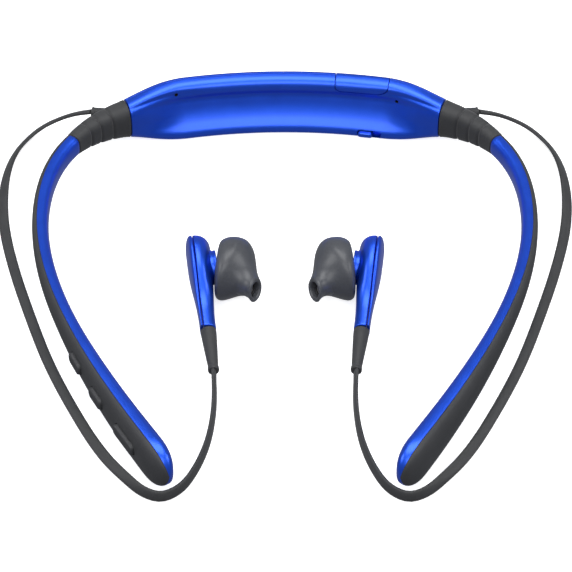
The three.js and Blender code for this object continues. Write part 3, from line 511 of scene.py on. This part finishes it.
def section(w, distance, depth=0.0):
    """Outline points (out, height) at places w, moved in by depth."""
    w = np.asarray(w, float)
    depth = np.broadcast_to(np.asarray(depth, float), w.shape) + groove(w, distance)
    mix = smoothstep(abs(distance), 0.62 * HOUSING_HALF, 1.06 * HOUSING_HALF)
    body = on_loop(loop, w) + on_loop(loop_in, w) * depth[:, None]
    return body * (1 - mix) + blade(w, abs(distance), depth) * mix


def wall_places(start, end, count, wall, edge=EDGE):
    """Places and depths round one folded wall: along its face, and back along its inside."""
    length = 27 * MM
    bevel = edge / length
    w = np.linspace(start + bevel, end - bevel, count)
    face = [(start, edge), (start + 0.3 * bevel, 0.3 * edge), *((x, 0.0) for x in w),
            (end - 0.3 * bevel, 0.3 * edge), (end, edge)]
    back = [(x, wall) for x, _ in reversed(face)]
    return np.array(face + back)


def banded(name, distances, places, material, slot, edge=EDGE, sharp=35):
    """A wall along the band with its two ends rounded over by edge."""
    w, depth = places.T
    first, last = distances[0], distances[-1]
    inner = [d for d in distances if first + edge < d < last - edge]
    stops = [(first, edge), (first + 0.3 * edge, 0.3 * edge), (first + edge, 0.0), *((d, 0.0) for d in inner),
             (last - edge, 0.0), (last - 0.3 * edge, 0.3 * edge), (last, edge)]
    rings = [lifted(d, section(w, d, np.maximum(depth, drop))) for d, drop in stops]
    return lofted(name, rings, material, slot, caps="wall", sharp=sharp)


def on_side(side, distances):
    """Places on the left or the right half, always in the line's own direction."""
    return distances if side > 0 else [-d for d in reversed(distances)]


def frame_at(distance, out, height, lean=0.0):
    """Axes of a straight piece on the band: x back along the line, y up, z outwards."""
    at, along, outwards_ = station(distance)
    y = Vector((outwards_[0] * math.sin(lean), outwards_[1] * math.sin(lean), math.cos(lean)))
    z = Vector((outwards_[0] * math.cos(lean), outwards_[1] * math.cos(lean), -math.sin(lean)))
    x = Vector((-along[0], -along[1], 0))
    plan = at + out * outwards_
    matrix = Matrix((x, y, z)).transposed().to_4x4()
    matrix.translation = Vector((*plan, height))
    return matrix


# ---------------------------------------------------------------- cords
CORD_WIDTH = 3.2 * MM
CORD_THICKNESS = 1.2 * MM
CORD_ROUTE = (
    (0.0596, 0.0727, 0.0082), (0.0645, 0.0737, 0.0065), (0.07, 0.074, 0.004), (0.075, 0.072, 0.0024),
    (0.08, 0.066, 0.0016), (0.0835, 0.057, 0.0011), (0.085, 0.044, 0.0009), (0.084, 0.028, 0.0009),
    (0.08, 0.009, 0.0009), (0.074, -0.012, 0.0009), (0.0675, -0.032, 0.0009), (0.0595, -0.051, 0.0009),
    (0.0505, -0.069, 0.0009), (0.044, -0.078, 0.001), (0.039, -0.0835, 0.0014), (0.034, -0.0855, 0.0017),
    (0.029, -0.0825, 0.0017), (0.025, -0.0755, 0.0017), (0.0215, -0.064, 0.0017), (0.02, -0.05, 0.0018),
    (0.02025, -0.0365, 0.00225),
)
# the ribbon's turn on edge in degrees, at shares of its length
CORD_TURN = ((0, 20), (0.06, 35), (0.11, 58), (0.17, 40), (0.26, 4),
             (0.62, 0), (0.70, 30), (0.78, 74), (1, 78))


def ribbon_rings(rows, width, thickness, turn, side, points=20):
    """Rings of a flat cord with round edges, turned on edge by turn."""
    around = np.linspace(0, 2 * math.pi, points, endpoint=False)
    along = np.gradient(rows, axis=0)
    along /= np.linalg.norm(along, axis=1)[:, None]
    rings = []
    for row, direction, angle in zip(rows, along, turn):
        level = np.cross((0, 0, 1), direction)
        level /= np.linalg.norm(level)
        up = np.cross(direction, level)
        wide = math.cos(angle) * level - side * math.sin(angle) * up
        flat = np.cross(direction, wide)
        x = np.sign(np.cos(around)) * np.abs(np.cos(around)) ** 0.7 * width / 2
        y = np.sign(np.sin(around)) * np.abs(np.sin(around)) ** 0.7 * thickness / 2
        rings.append(row + np.outer(x, wide) + np.outer(y, flat))
    return rings


def add_cord(name, side):
    rows, length = by_length(eased(through([(side * x, y, z) for x, y, z in CORD_ROUTE]), 8), 1.6 * MM)
    share = np.linspace(0, 1, len(rows))
    turn = np.radians(eased(np.interp(share, *zip(*CORD_TURN))[:, None], 4)[:, 0])
    reach = CORD_WIDTH / 2 * np.abs(np.sin(turn)) + CORD_THICKNESS / 2 * np.abs(np.cos(turn))
    rows[:, 2] = np.maximum(rows[:, 2], reach + 0.1 * MM)
    rings = ribbon_rings(rows, CORD_WIDTH, CORD_THICKNESS, turn, side)
    piece = lofted(f"{name}_flat_cord", rings, CORD, "cord_rubber")
    place(piece, f"{name}_arm", f"{name}_cord")


for name, side in SIDES:
    add_cord(name, side)

# ---------------------------------------------------------------- housing
PORT_AT = 23.4 * MM
PORT_LENGTH = 16.2 * MM
PORT_FRONT = 1.74                 # where the cover's front edge lies on the loop
PORT_BACK = 2.4                   # and its back edge, on the outer side
PORT_CORNERS = (2.2 * MM, 3.4 * MM)
COVER_THICKNESS = 1.1 * MM
PORT_GAP = 0.16 * MM
SEAT_LAP = 0.8 * MM               # the recess's floor reaches this far under the shells
SOCKET_OUT, SOCKET_TOP = 3.9 * MM, 13.3 * MM
SOCKET_LEAN = math.radians(10)
SOCKET_MOUTH = (7.8 * MM, 2.6 * MM)
MIC_HOLES = ((-33.5 * MM, 1.775), (34.5 * MM, 1.675))
MIC_RADIUS = 0.55 * MM
KNOB_LENGTH, KNOB_HEIGHT, KNOB_LEVEL, KNOB_AT = 4.4 * MM, 1.7 * MM, 1.7 * MM, 25.6 * MM
KNOB_TRAVEL, KNOB_PROUD, KNOB_DEPTH = 2.4 * MM, 0.9 * MM, 2.0 * MM

housing_places = list(np.linspace(-HOUSING_HALF, HOUSING_HALF, 161))


def port_patch(grow, rows=26, columns=34):
    """Places (distance, w) of a rounded patch over the ridge, grown all round; one row per w."""
    per_w = 27 * MM
    low, high = PORT_FRONT - grow / per_w, PORT_BACK + grow / per_w
    start, end = PORT_AT - PORT_LENGTH / 2 - grow, PORT_AT + PORT_LENGTH / 2 + grow
    reach = (high - low) * per_w
    share = np.linspace(0, 1, rows)
    share = share ** 1.5 * (1 - share) + share * share
    patch = []
    for y in share * reach:
        ends = []
        for corner in PORT_CORNERS:
            short = max(0.0, corner - y)
            back = max(0.0, 1.2 * MM - (reach - y))
            ends.append(corner - math.sqrt(max(0.0, corner ** 2 - short ** 2))
                        + 1.2 * MM - math.sqrt(max(0.0, (1.2 * MM) ** 2 - back ** 2)))
        spots = np.linspace(start + ends[0], end - ends[1], columns)
        patch.append([(d, low + y / per_w) for d in spots])
    return np.array(patch)


def patch_points(patch, depth):
    return np.array([[lifted(d, section([w], d, depth))[0] for d, w in row] for row in patch])


def patch_rim(rows, columns):
    """Grid numbers round the edge of a patch, in order."""
    top = [(0, c) for c in range(columns)]
    right = [(r, columns - 1) for r in range(1, rows)]
    bottom = [(rows - 1, c) for c in range(columns - 2, -1, -1)]
    left = [(r, 0) for r in range(rows - 2, 0, -1)]
    return [r * columns + c for r, c in top + right + bottom + left]


def plate(name, layers, material, sharp=40):
    """A closed plate: its first and last layers are whole grids, and those between are only rims."""
    rows, columns = layers[0].shape[:2]
    rim = patch_rim(rows, columns)
    points = list(layers[0].reshape(-1, 3))
    faces = []
    for r in range(rows - 1):
        for c in range(columns - 1):
            a = r * columns + c
            faces.append((a, a + 1, a + columns + 1, a + columns))
    ring = rim
    for layer in layers[1:-1]:
        start = len(points)
        points.extend(layer.reshape(-1, 3)[rim])
        fresh = list(range(start, start + len(rim)))
        following = zip(ring, ring[1:] + ring[:1], fresh[1:] + fresh[:1], fresh)
        faces.extend((a, d, c, b) for a, b, c, d in following)
        ring = fresh
    start = len(points)
    points.extend(layers[-1].reshape(-1, 3))
    fresh = [start + n for n in rim]
    faces.extend((a, d, c, b) for a, b, c, d in zip(ring, ring[1:] + ring[:1], fresh[1:] + fresh[:1], fresh))
    for r in range(rows - 1):
        for c in range(columns - 1):
            a = start + r * columns + c
            faces.append((a, a + columns, a + columns + 1, a + 1))
    piece = add_mesh(name, points, faces, material, sharp)
    outwards(piece)
    return piece


def port_lid():
    layers = [
        patch_points(port_patch(-EDGE), 0.0),
        patch_points(port_patch(-0.3 * EDGE), 0.3 * EDGE),
        patch_points(port_patch(0), EDGE),
        patch_points(port_patch(0), COVER_THICKNESS),
    ]
    return plate("port_lid", layers, BLUE)


def port_cutter():
    return plate("port_cutter", [patch_points(port_patch(PORT_GAP), -0.8 * MM),
                                 patch_points(port_patch(PORT_GAP), WALL + 0.4 * MM)], BLUE)


def port_seat():
    """The dark floor of the recess under the lid, open over the charging socket."""
    seat = port_patch(SEAT_LAP)
    piece = plate("port_seat", [patch_points(seat, WALL + 0.05 * MM), patch_points(seat, WALL + 0.5 * MM)],
                  BLACK)
    matrix = frame_at(PORT_AT, SOCKET_OUT, SOCKET_TOP, SOCKET_LEAN)
    x, z = SOCKET_MOUTH[0] / 2, SOCKET_MOUTH[1] / 2
    corners = ((-x, -z), (x, -z), (x, z), (-x, z))
    rings = [[matrix @ Vector((a, height, b)) for a, b in corners] for height in (-1 * MM, 5 * MM)]
    return cut(piece, lofted("mouth", rings, BLACK, None))


def bar_points(length, height, corner, steps=6):
    """Outline of a bar with round corners, in its own plane."""
    points = []
    for x, y, start in ((1, -1, -90), (1, 1, 0), (-1, 1, 90), (-1, -1, 180)):
        for k in range(steps + 1):
            turn = math.radians(start + 90 * k / steps)
            points.append((x * (length / 2 - corner) + corner * math.cos(turn),
                           y * (height / 2 - corner) + corner * math.sin(turn)))
    return np.array(points)


def stacked(name, matrix, outlines, heights, material, slot=None, sharp=40):
    """A closed body of flat outlines at heights along the matrix's z."""
    rings = [[matrix @ Vector((x, y, height)) for x, y in outline]
             for outline, height in zip(outlines, heights)]
    return lofted(name, rings, material, slot, sharp=sharp)


def mic_cutter(distance, w):
    mouth = section([w], distance)[0]
    deep = section([w], distance, WALL)[0]
    lean = -math.atan2(deep[1] - mouth[1], deep[0] - mouth[0])
    matrix = frame_at(distance, mouth[0], mouth[1], lean)
    circle = bar_points(2 * MIC_RADIUS, 2 * MIC_RADIUS, MIC_RADIUS * 0.999, 8)
    return stacked("mic_cutter", matrix, [circle, circle], [-2 * MM, 2.6 * MM], BLACK)


def knob_slot():
    outline = bar_points(KNOB_LENGTH + KNOB_TRAVEL + 2 * GAP, KNOB_HEIGHT + 2 * GAP, 0.8 * MM)
    matrix = frame_at(KNOB_AT + KNOB_TRAVEL / 2, LIP, KNOB_LEVEL)
    return stacked("knob_slot", matrix, [outline, outline], [-2 * MM, KNOB_DEPTH + GAP], BLACK)


rear_shell = banded("rear_shell", housing_places, wall_places(0.0, 1.0, 60, WALL), BLUE, "blue_shell")
front_shell = banded("front_shell", housing_places, wall_places(1.0, 2.0, 90, WALL), BLUE, "blue_shell")
cut(rear_shell, port_cutter())
cut(front_shell, port_cutter(), knob_slot(), *(mic_cutter(*hole) for hole in MIC_HOLES))
place(rear_shell, "band", "rear_housing")
place(front_shell, "band", "front_housing")
place(port_lid(), "port_cover", "port_cover")
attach(port_seat(), "band")


def power_knob():
    inset = 0.25 * MM
    whole = bar_points(KNOB_LENGTH, KNOB_HEIGHT, 0.7 * MM)
    small = bar_points(KNOB_LENGTH - 2 * inset, KNOB_HEIGHT - 2 * inset, 0.6 * MM)
    heights = [KNOB_DEPTH, -KNOB_PROUD + inset, -KNOB_PROUD + 0.3 * inset, -KNOB_PROUD]
    middle = (whole + 2 * small) / 3
    return stacked("power_knob", frame_at(KNOB_AT, LIP, KNOB_LEVEL), [whole, whole, middle, small], heights,
                   BLUE, "blue_shell")


place(power_knob(), "power_switch", "power_switch")


# ---------------------------------------------------------------- sleeves
SLEEVE_GROOVES = (0.30, 0.52, 0.72)   # at shares of the sleeve's length, from the housing
GROOVE_WIDTH = 0.42 * MM
GROOVE_CUT = 0.32 * MM
SWELL = 0.08 * MM


def sleeve_depth(share):
    """How far the sleeve's surface lies under the plain section: three stepped grooves between swells."""
    here = share * SLEEVE_LENGTH
    cuts = [x * SLEEVE_LENGTH for x in SLEEVE_GROOVES]
    depth = sum(GROOVE_CUT * math.exp(-((here - x) / GROOVE_WIDTH) ** 2) for x in cuts)
    for x in cuts:
        past = here - x
        if past > 0:
            depth += SWELL * math.exp(-past / (2.2 * MM))
    return depth


def fade_back(w):
    """Full on the inner and upper faces, nothing along the back."""
    away = np.abs((w - 0.5 + 1) % 2 - 1)
    return smoothstep(away, 0.22, 0.5)


def add_sleeve(name, side):
    w = np.linspace(0, 2, 97)[:-1]
    stops = np.linspace(sleeve_start, sleeve_end, 150)
    rings = []
    ends = [(sleeve_start, EDGE), (sleeve_start + EDGE, 0), (sleeve_end - EDGE, 0), (sleeve_end, EDGE)]
    stops = sorted([(d, 0.0) for d in stops[2:-2]] + ends)
    for d, drop in stops:
        depth = sleeve_depth((d - sleeve_start) / SLEEVE_LENGTH) * fade_back(w) + drop
        rings.append(lifted(side * d, section(w, d, depth)))
    piece = lofted(f"{name}_sleeve", rings, SLEEVE, "sleeve_rubber", sharp=60)
    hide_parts(f"{name}_flex_sleeve")
    ends = [Vector((*station(side * d)[0], ARM_LEVEL)) for d in (sleeve_start, sleeve_end)]
    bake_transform(piece)

    core_w = np.array([(1, 1), (1, -1), (-1, -1), (-1, 1)]) * (0.4 * MM, 1.8 * MM)
    places = np.linspace(sleeve_start + 1.2 * MM, sleeve_end - 1.2 * MM, 24)
    rings = [lifted(side * d, core_w + (0, ARM_LEVEL)) for d in places]
    core = lofted(f"{name}_sleeve_core", rings, STEEL, "steel")
    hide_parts(f"{name}_flex_core")
    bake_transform(core)


BOOT_AT, BOOT_LENGTH, BOOT_RADIUS, BOOT_TAPER, BOOT_TURN = 3.2 * MM, 6.4 * MM, 2.0 * MM, 0.8, 36
BOOT_LEVEL = 8.2 * MM


def boot_frame(side):
    at = sleeve_start + BOOT_AT
    half, _, _ = blade_size(at)
    spot, along, out = station(side * at)
    root = spot + (half - 0.4 * MM) * out
    turn = math.radians(BOOT_TURN)
    away = Vector((*(side * math.cos(turn) * along + math.sin(turn) * out), 0)).normalized()
    up = Vector((0, 0, 1))
    matrix = Matrix((away.cross(up), up, -away)).transposed().to_4x4()
    matrix.translation = Vector((*root, BOOT_LEVEL))
    return matrix


def add_boot(name, side):
    stops = ((0, 1.0), (0.72, 0.88), (0.9, 0.84), (0.94, 0.9), (0.985, 0.9), (1, 0.84))
    matrix = boot_frame(side)
    around = np.linspace(0, 2 * math.pi, 29)[:-1]
    rings = []
    for share, scale in stops:
        radius = BOOT_RADIUS * scale
        height = BOOT_LENGTH * share
        rings.append([matrix @ Vector((radius * math.cos(a), radius * math.sin(a), -height)) for a in around])
    piece = lofted(f"{name}_boot", rings, SLEEVE, "sleeve_rubber")
    place(piece, f"{name}_arm", f"{name}_cord_boot")


# ---------------------------------------------------------------- arms and keys
def arm_places():
    """Places from the sleeve to the tip, closer together where the tip is round."""
    plain = np.linspace(arm_start, half_line - TIP_ROUND, 110)
    turn = np.linspace(0, math.pi / 2, 30)[1:]
    return list(plain) + list(half_line - TIP_ROUND + TIP_ROUND * np.sin(turn) * 0.9995)


KEY_HEIGHT, KEY_PROUD, KEY_DEPTH = 3.6 * MM, 1.0 * MM, 1.4 * MM
KEY_CORNER, KEY_EDGE = 1.4 * MM, 0.45 * MM
KEYS = (
    ("volume_up", 98.4 * MM, 7.4 * MM),
    ("volume_down", 113.4 * MM, 7.4 * MM),
    ("play", 131.4 * MM, 11.2 * MM),
)


def key_frame(place_):
    distance = arm_start + place_
    half, _, level = blade_size(distance)
    return frame_at(-distance, half, level)


def key_cutter(place_, length):
    outline = bar_points(length + 1.6 * GAP, KEY_HEIGHT + 1.6 * GAP, 1.6 * MM)
    return stacked("key_cutter", key_frame(place_), [outline, outline], [-2.2 * MM, 2 * MM], BLACK)


def add_key(name, place_, length):
    whole = bar_points(length, KEY_HEIGHT, KEY_CORNER)
    outlines, heights = [whole, whole], [-KEY_DEPTH, KEY_PROUD - KEY_EDGE]
    for turn in (30, 60, 90):
        inset = KEY_EDGE * (1 - math.cos(math.radians(turn)))
        outlines.append(bar_points(length - 2 * inset, KEY_HEIGHT - 2 * inset, KEY_CORNER - 0.9 * inset))
        heights.append(KEY_PROUD - KEY_EDGE * (1 - math.sin(math.radians(turn))))
    dish = bar_points(0.6 * length, 0.45 * KEY_HEIGHT, 0.7 * MM)
    outlines.append(dish)
    heights.append(KEY_PROUD - 0.12 * MM)
    piece = stacked(f"{name}_button", key_frame(place_), outlines, heights, GRAPHITE, "graphite_shell",
                    sharp=60)
    place(piece, f"{name}_key", f"{name}_key")


def add_arm(name, side, keys):
    stops = on_side(side, arm_places())
    outer = banded(f"{name}_outer", stops, wall_places(0.0, 1.0, 44, ARM_WALL), GRAPHITE, "graphite_shell")
    if keys:
        cut(outer, *(key_cutter(spot, length) for _, spot, length in keys))
    inner = banded(f"{name}_inner", stops, wall_places(1.0, 2.0, 64, ARM_WALL), BLUE, "blue_shell")
    place(outer, f"{name}_arm", f"{name}_arm_outer_shell")
    place(inner, f"{name}_arm", f"{name}_arm_inner_cover")


for name, side in SIDES:
    add_sleeve(name, side)
    add_boot(name, side)
    add_arm(name, side, KEYS if name == "right" else ())
for key in KEYS:
    add_key(*key)


# ---------------------------------------------------------------- earbuds
BUD_AT = np.array((-26.4, 2.5, 9.0)) * MM
STEM_DIRECTION = np.array((0.12, -0.978, -0.17))
HEAD_RADIUS, STEM_LENGTH, STEM_HALF_WIDTH = 8 * MM, 25 * MM, 2.75 * MM
CAP_DEPTH, CAP_STEM_DEPTH = 2.1 * MM, 0.9 * MM
BODY_DEPTH, BODY_STEM_DEPTH = 5.0 * MM, 3.6 * MM
NECK_AT = 2.6 * MM
NOZZLE_RADIUS, NOZZLE_BORE, NOZZLE_LENGTH = 2.0 * MM, 1.4 * MM, 11.4 * MM
NOZZLE_TIP = np.array((16.2, 2.2, 13.8)) * MM
NOZZLE_TURN = math.radians(33.5)      # from the bud's x towards its stem
NOZZLE_LIFT = math.radians(16)        # and up
GEL_MOUTH_HALF, GEL_WIDE, GEL_TALL, GEL_TIP_HALF = 6.9 * MM, 10.0 * MM, 9.0 * MM, 3.6 * MM
GEL_FULLEST = 0.3                     # share of the gel's length at its fullest ring
GEL_LOW = 0.4 * MM
GEL_MOUTH = np.array((6.5 * MM, GEL_LOW, 2.7 * MM))
GEL_BEND = np.array((13.4 * MM, GEL_LOW, 3.6 * MM))
GEL_MOUTH_TURN = math.radians(14)
GEL_TWIST = math.radians(14)          # extra turn of the dome halfway
GEL_NARROW = 2.4                      # over 2 narrows the dome sooner into a tube
RELIEF_LENGTH, RELIEF_START, RELIEF_OUT = 14.4 * MM, 2.3 * MM, 1.35 * MM


def bud_points(points, side):
    """Points in a bud's own axes (towards the gel, up, down the stem) as points of the model."""
    stem = STEM_DIRECTION / np.linalg.norm(STEM_DIRECTION)
    gel = np.array((1.0, 0, 0)) - stem[0] * stem
    gel /= np.linalg.norm(gel)
    up = np.cross(stem, gel)
    placed = BUD_AT + np.asarray(points, float) @ np.array((gel, up, stem))
    return placed * (-side, 1, 1)


def outline_at(z):
    head = np.sqrt(np.maximum(0, HEAD_RADIUS ** 2 - np.minimum(z, 0) ** 2))
    t = np.clip(z / (0.8 * STEM_LENGTH), 0, 1)
    stem = t ** 3 * (t * (6 * t - 15) + 10)
    return head * (1 - stem) + STEM_HALF_WIDTH * stem


def depth_at(z, head, stem):
    rise = np.minimum(1, np.sqrt(np.maximum(0, (z + HEAD_RADIUS) / (0.55 * HEAD_RADIUS))))
    soft = np.sin(np.minimum(1, rise) * math.pi / 2) ** 0.9
    share = smoothstep(z, 0, 0.9 * STEM_LENGTH)
    return (head * (1 - share) + stem * share) * soft


def half_rings(direction, head, stem, edge, steps=40):
    """Rings of one half of the bud, on its side of the seam, with the seam's edge rounded by edge."""
    turn = np.linspace(math.pi / 2, math.pi, 26)
    head_z = HEAD_RADIUS * (np.cos(turn[::-1]) * 0.9995)
    places = np.concatenate([head_z[:-1], np.linspace(0, STEM_LENGTH, steps)])
    around = np.radians(np.linspace(-90, 90, 33))
    seam = 0.5 * PARTING
    rings = []
    for z in places:
        width, depth = float(outline_at(z)), float(depth_at(z, head, stem))
        bevel = min(edge, 0.4 * width, 0.5 * max(depth, 0.02 * MM))
        x = seam + bevel + np.maximum(0, depth - bevel) * np.cos(around) ** 0.9
        y = width * np.sin(around)
        start = [(seam, -(width - bevel)), (seam + 0.3 * bevel, -(width - 0.3 * bevel))]
        outline = start + list(zip(x, y)) + [(px, -py) for px, py in reversed(start)]
        rings.append([(direction * px, py, z) for px, py in outline])
    return rings


def neck_rings(points=48):
    """Rings of the neck between the body and the gel, flared towards the gel."""
    profile = ((2.2, 4.6), (3.4, 4.65), (4.4, 4.75), (5.2, 4.95), (5.9, 5.25), (6.2, 5.2))
    around = np.linspace(0, 2 * math.pi, points, endpoint=False)
    return [[(x * MM, r * MM * math.sin(a), NECK_AT + r * MM * math.cos(a)) for a in around]
            for x, r in profile]


def placed_loft(name, rings, side, material, slot=None, **how):
    return lofted(name, [bud_points(ring, side) for ring in rings], material, slot, **how)


BUD_VOXEL = 0.26 * MM          # fine enough to keep the seam beside the cap


def add_bud_shells(name, side):
    cap = placed_loft(f"{name}_cap", half_rings(-1, CAP_DEPTH, CAP_STEM_DEPTH, 0.45 * MM), side, BLUE,
                      "blue_shell", sharp=50)
    body = placed_loft(f"{name}_body", half_rings(1, BODY_DEPTH, BODY_STEM_DEPTH, 0.2 * MM), side, BLUE,
                       "blue_shell", sharp=50)
    neck = placed_loft("neck", neck_rings(), side, BLUE)
    with_modifier(body, "BOOLEAN", operation="UNION", object=neck, solver="MANIFOLD")
    bpy.data.objects.remove(neck)
    with_modifier(body, "REMESH", mode="VOXEL", voxel_size=BUD_VOXEL)
    axis_x, axis_y, axis_z = (bud_points([v], side)[0] - bud_points([(0, 0, 0)], side)[0] for v in np.eye(3))
    origin = bud_points([(0, 0, 0)], side)[0]
    group = body.vertex_groups.new(name="soft")
    for vertex in body.data.vertices:
        local = np.array(vertex.co) - origin
        x, y, z = local @ axis_x, local @ axis_y, local @ axis_z
        reach = math.hypot(y, z - NECK_AT)
        weight = float(smoothstep(x, 0.6 * MM, 1.6 * MM) * (1 - smoothstep(x, 4.9 * MM, 5.8 * MM)))
        near = float(1 - smoothstep(reach, 6.5 * MM, 8 * MM))
        least = 0.12 * float(smoothstep(x, 0.3 * MM, 1.0 * MM))
        group.add([vertex.index], max(least, weight * near), "REPLACE")
    with_modifier(body, "SMOOTH", factor=0.5, iterations=36, vertex_group="soft")
    body.data.materials.clear()
    body.data.materials.append(BLUE)
    body.data.shade_smooth()
    body.data.set_sharp_from_angle(angle=math.radians(48))
    place(cap, f"{name}_arm", f"{name}_bud_cap")
    place(body, f"{name}_arm", f"{name}_bud_body")


def turned_axes(turn, lift):
    """Directions along, across and up of a ring of the gel or of the nozzle."""
    level = np.array((math.cos(turn), 0, math.sin(turn)))
    plumb = np.array((0, 1.0, 0))
    along = math.cos(lift) * level + math.sin(lift) * plumb
    up = math.cos(lift) * plumb - math.sin(lift) * level
    return along, np.cross(along, up), up


def nozzle_rings(stops, points=40):
    """Rings about the nozzle's axis; stops are (distance back from the tip, radius)."""
    along, across, up = turned_axes(NOZZLE_TURN, NOZZLE_LIFT)
    around = np.linspace(0, 2 * math.pi, points, endpoint=False)
    circle = np.outer(np.cos(around), across) + np.outer(np.sin(around), up)
    return [NOZZLE_TIP - back * along + radius * circle for back, radius in stops]


def gel_half(share, full):
    """Half size of the gel at a share of its length: a round skirt, then a dome down to the tip."""
    if share < GEL_FULLEST:
        edge, swell = GEL_MOUTH_HALF, math.sqrt(1 - (1 - share / GEL_FULLEST) ** 2)
    else:
        edge = GEL_TIP_HALF
        swell = max(0.0, math.cos(math.pi / 2 * (share - GEL_FULLEST) / (1 - GEL_FULLEST))) ** GEL_NARROW
    return edge + (full - edge) * swell


def gel_rings(points=72, count=64):
    around = np.linspace(0, 2 * math.pi, points, endpoint=False)
    rings = []
    for share in np.linspace(0, 1, count) ** 1.5:
        early = GEL_MOUTH + (GEL_BEND - GEL_MOUTH) * share
        middle = early + (GEL_BEND + (NOZZLE_TIP - GEL_BEND) * share - early) * share
        middle[1] = GEL_LOW + (NOZZLE_TIP[1] - GEL_LOW) * share ** 2
        turn = GEL_MOUTH_TURN + (NOZZLE_TURN - GEL_MOUTH_TURN) * share + GEL_TWIST * math.sin(math.pi * share)
        _, across, up = turned_axes(turn, NOZZLE_LIFT * share ** 2)
        wide = gel_half(share, GEL_WIDE) * np.cos(around)
        tall = gel_half(share, GEL_TALL) * np.sin(around)
        rings.append(middle - np.outer(wide, across) + np.outer(tall, up))
    return rings


def add_gel(name, side):
    outer = gel_rings()
    points = outer[0].shape[0]
    mouth_middle = outer[0].mean(axis=0)
    mouth = [mouth_middle + (outer[0] - mouth_middle) * scale for scale in (0.84, 0.97)]
    bore = 2.3 * MM
    lip = ((-0.16 * MM, 3.42 * MM), (-0.34 * MM, 3.1 * MM), (-0.38 * MM, 2.8 * MM),
           (-0.2 * MM, 2.42 * MM), (0.2 * MM, bore), (9.0 * MM, bore))
    along, across, up = turned_axes(NOZZLE_TURN, NOZZLE_LIFT)
    around = np.linspace(0, 2 * math.pi, points, endpoint=False)
    sideways, upwards = np.outer(np.cos(around), across), np.outer(np.sin(around), up)
    ends = [NOZZLE_TIP - back * along - radius * sideways + radius * upwards for back, radius in lip]
    piece = placed_loft(f"{name}_gel", mouth + outer + ends, side, SILICONE, "ear_silicone", closed=True,
                        sharp=60)
    place(piece, f"{name}_ear_gel", f"{name}_ear_gel")


def add_nozzle(name, side):
    outside, bore = NOZZLE_RADIUS, NOZZLE_BORE
    stops = ((NOZZLE_LENGTH, bore), (NOZZLE_LENGTH, outside), (1.15 * MM, outside),
             (1.0 * MM, outside - 0.15 * MM), (1.0 * MM, bore + 0.12 * MM), (1.1 * MM, bore))
    piece = placed_loft(f"{name}_spout", nozzle_rings(stops), side, BLACK, "black_plastic", closed=True)
    place(piece, f"{name}_arm", f"{name}_nozzle")
    stops = ((1.7 * MM, bore - 0.15 * MM), (1.4 * MM, bore - 0.15 * MM))
    screen = placed_loft(f"{name}_screen", nozzle_rings(stops), side, STEEL, "steel")
    place(screen, f"{name}_arm", f"{name}_nozzle_screen")


def add_relief(name, side):
    stops = ((0, 1.0), (0.015, 1.04), (0.12, 1.0), (0.35, 0.93), (0.6, 0.84), (0.86, 0.745),
             (0.905, 0.73), (0.92, 0.79), (0.945, 0.805), (0.985, 0.80), (1, 0.76))
    around = np.linspace(0, 2 * math.pi, 41)[:-1]
    rings = []
    for share, scale in stops:
        radius = RELIEF_START * min(1.0, scale)
        flat = 1 - 0.12 * share
        z = STEM_LENGTH + GAP + RELIEF_LENGTH * share
        rings.append([(RELIEF_OUT + flat * radius * math.cos(a), radius * math.sin(a), z) for a in around])
    piece = placed_loft(f"{name}_relief", rings, side, SLEEVE, "sleeve_rubber")
    place(piece, f"{name}_arm", f"{name}_strain_relief")


for name, side in SIDES:
    add_bud_shells(name, side)
    add_gel(name, side)
    add_nozzle(name, side)
    add_relief(name, side)

# ---------------------------------------------------------------- inner pieces and the floor
for entry in frame["record"]["subparts"]:
    node = frame["nodes"][entry["node"]]
    if not node.hide_render:
        node.data.materials.clear()
        node.data.materials.append(MATERIALS[entry["material_slot"]])

floor_mesh = bpy.data.meshes.new("floor")
floor_mesh.from_pydata([(-3, -3, 0), (3, -3, 0), (3, 3, 0), (-3, 3, 0)], [], [(0, 1, 2, 3)])
floor_mesh.materials.append(floor_material())
floor = bpy.data.objects.new("floor", floor_mesh)
bpy.context.scene.collection.objects.link(floor)
floor.visible_glossy = False
floor.visible_diffuse = False
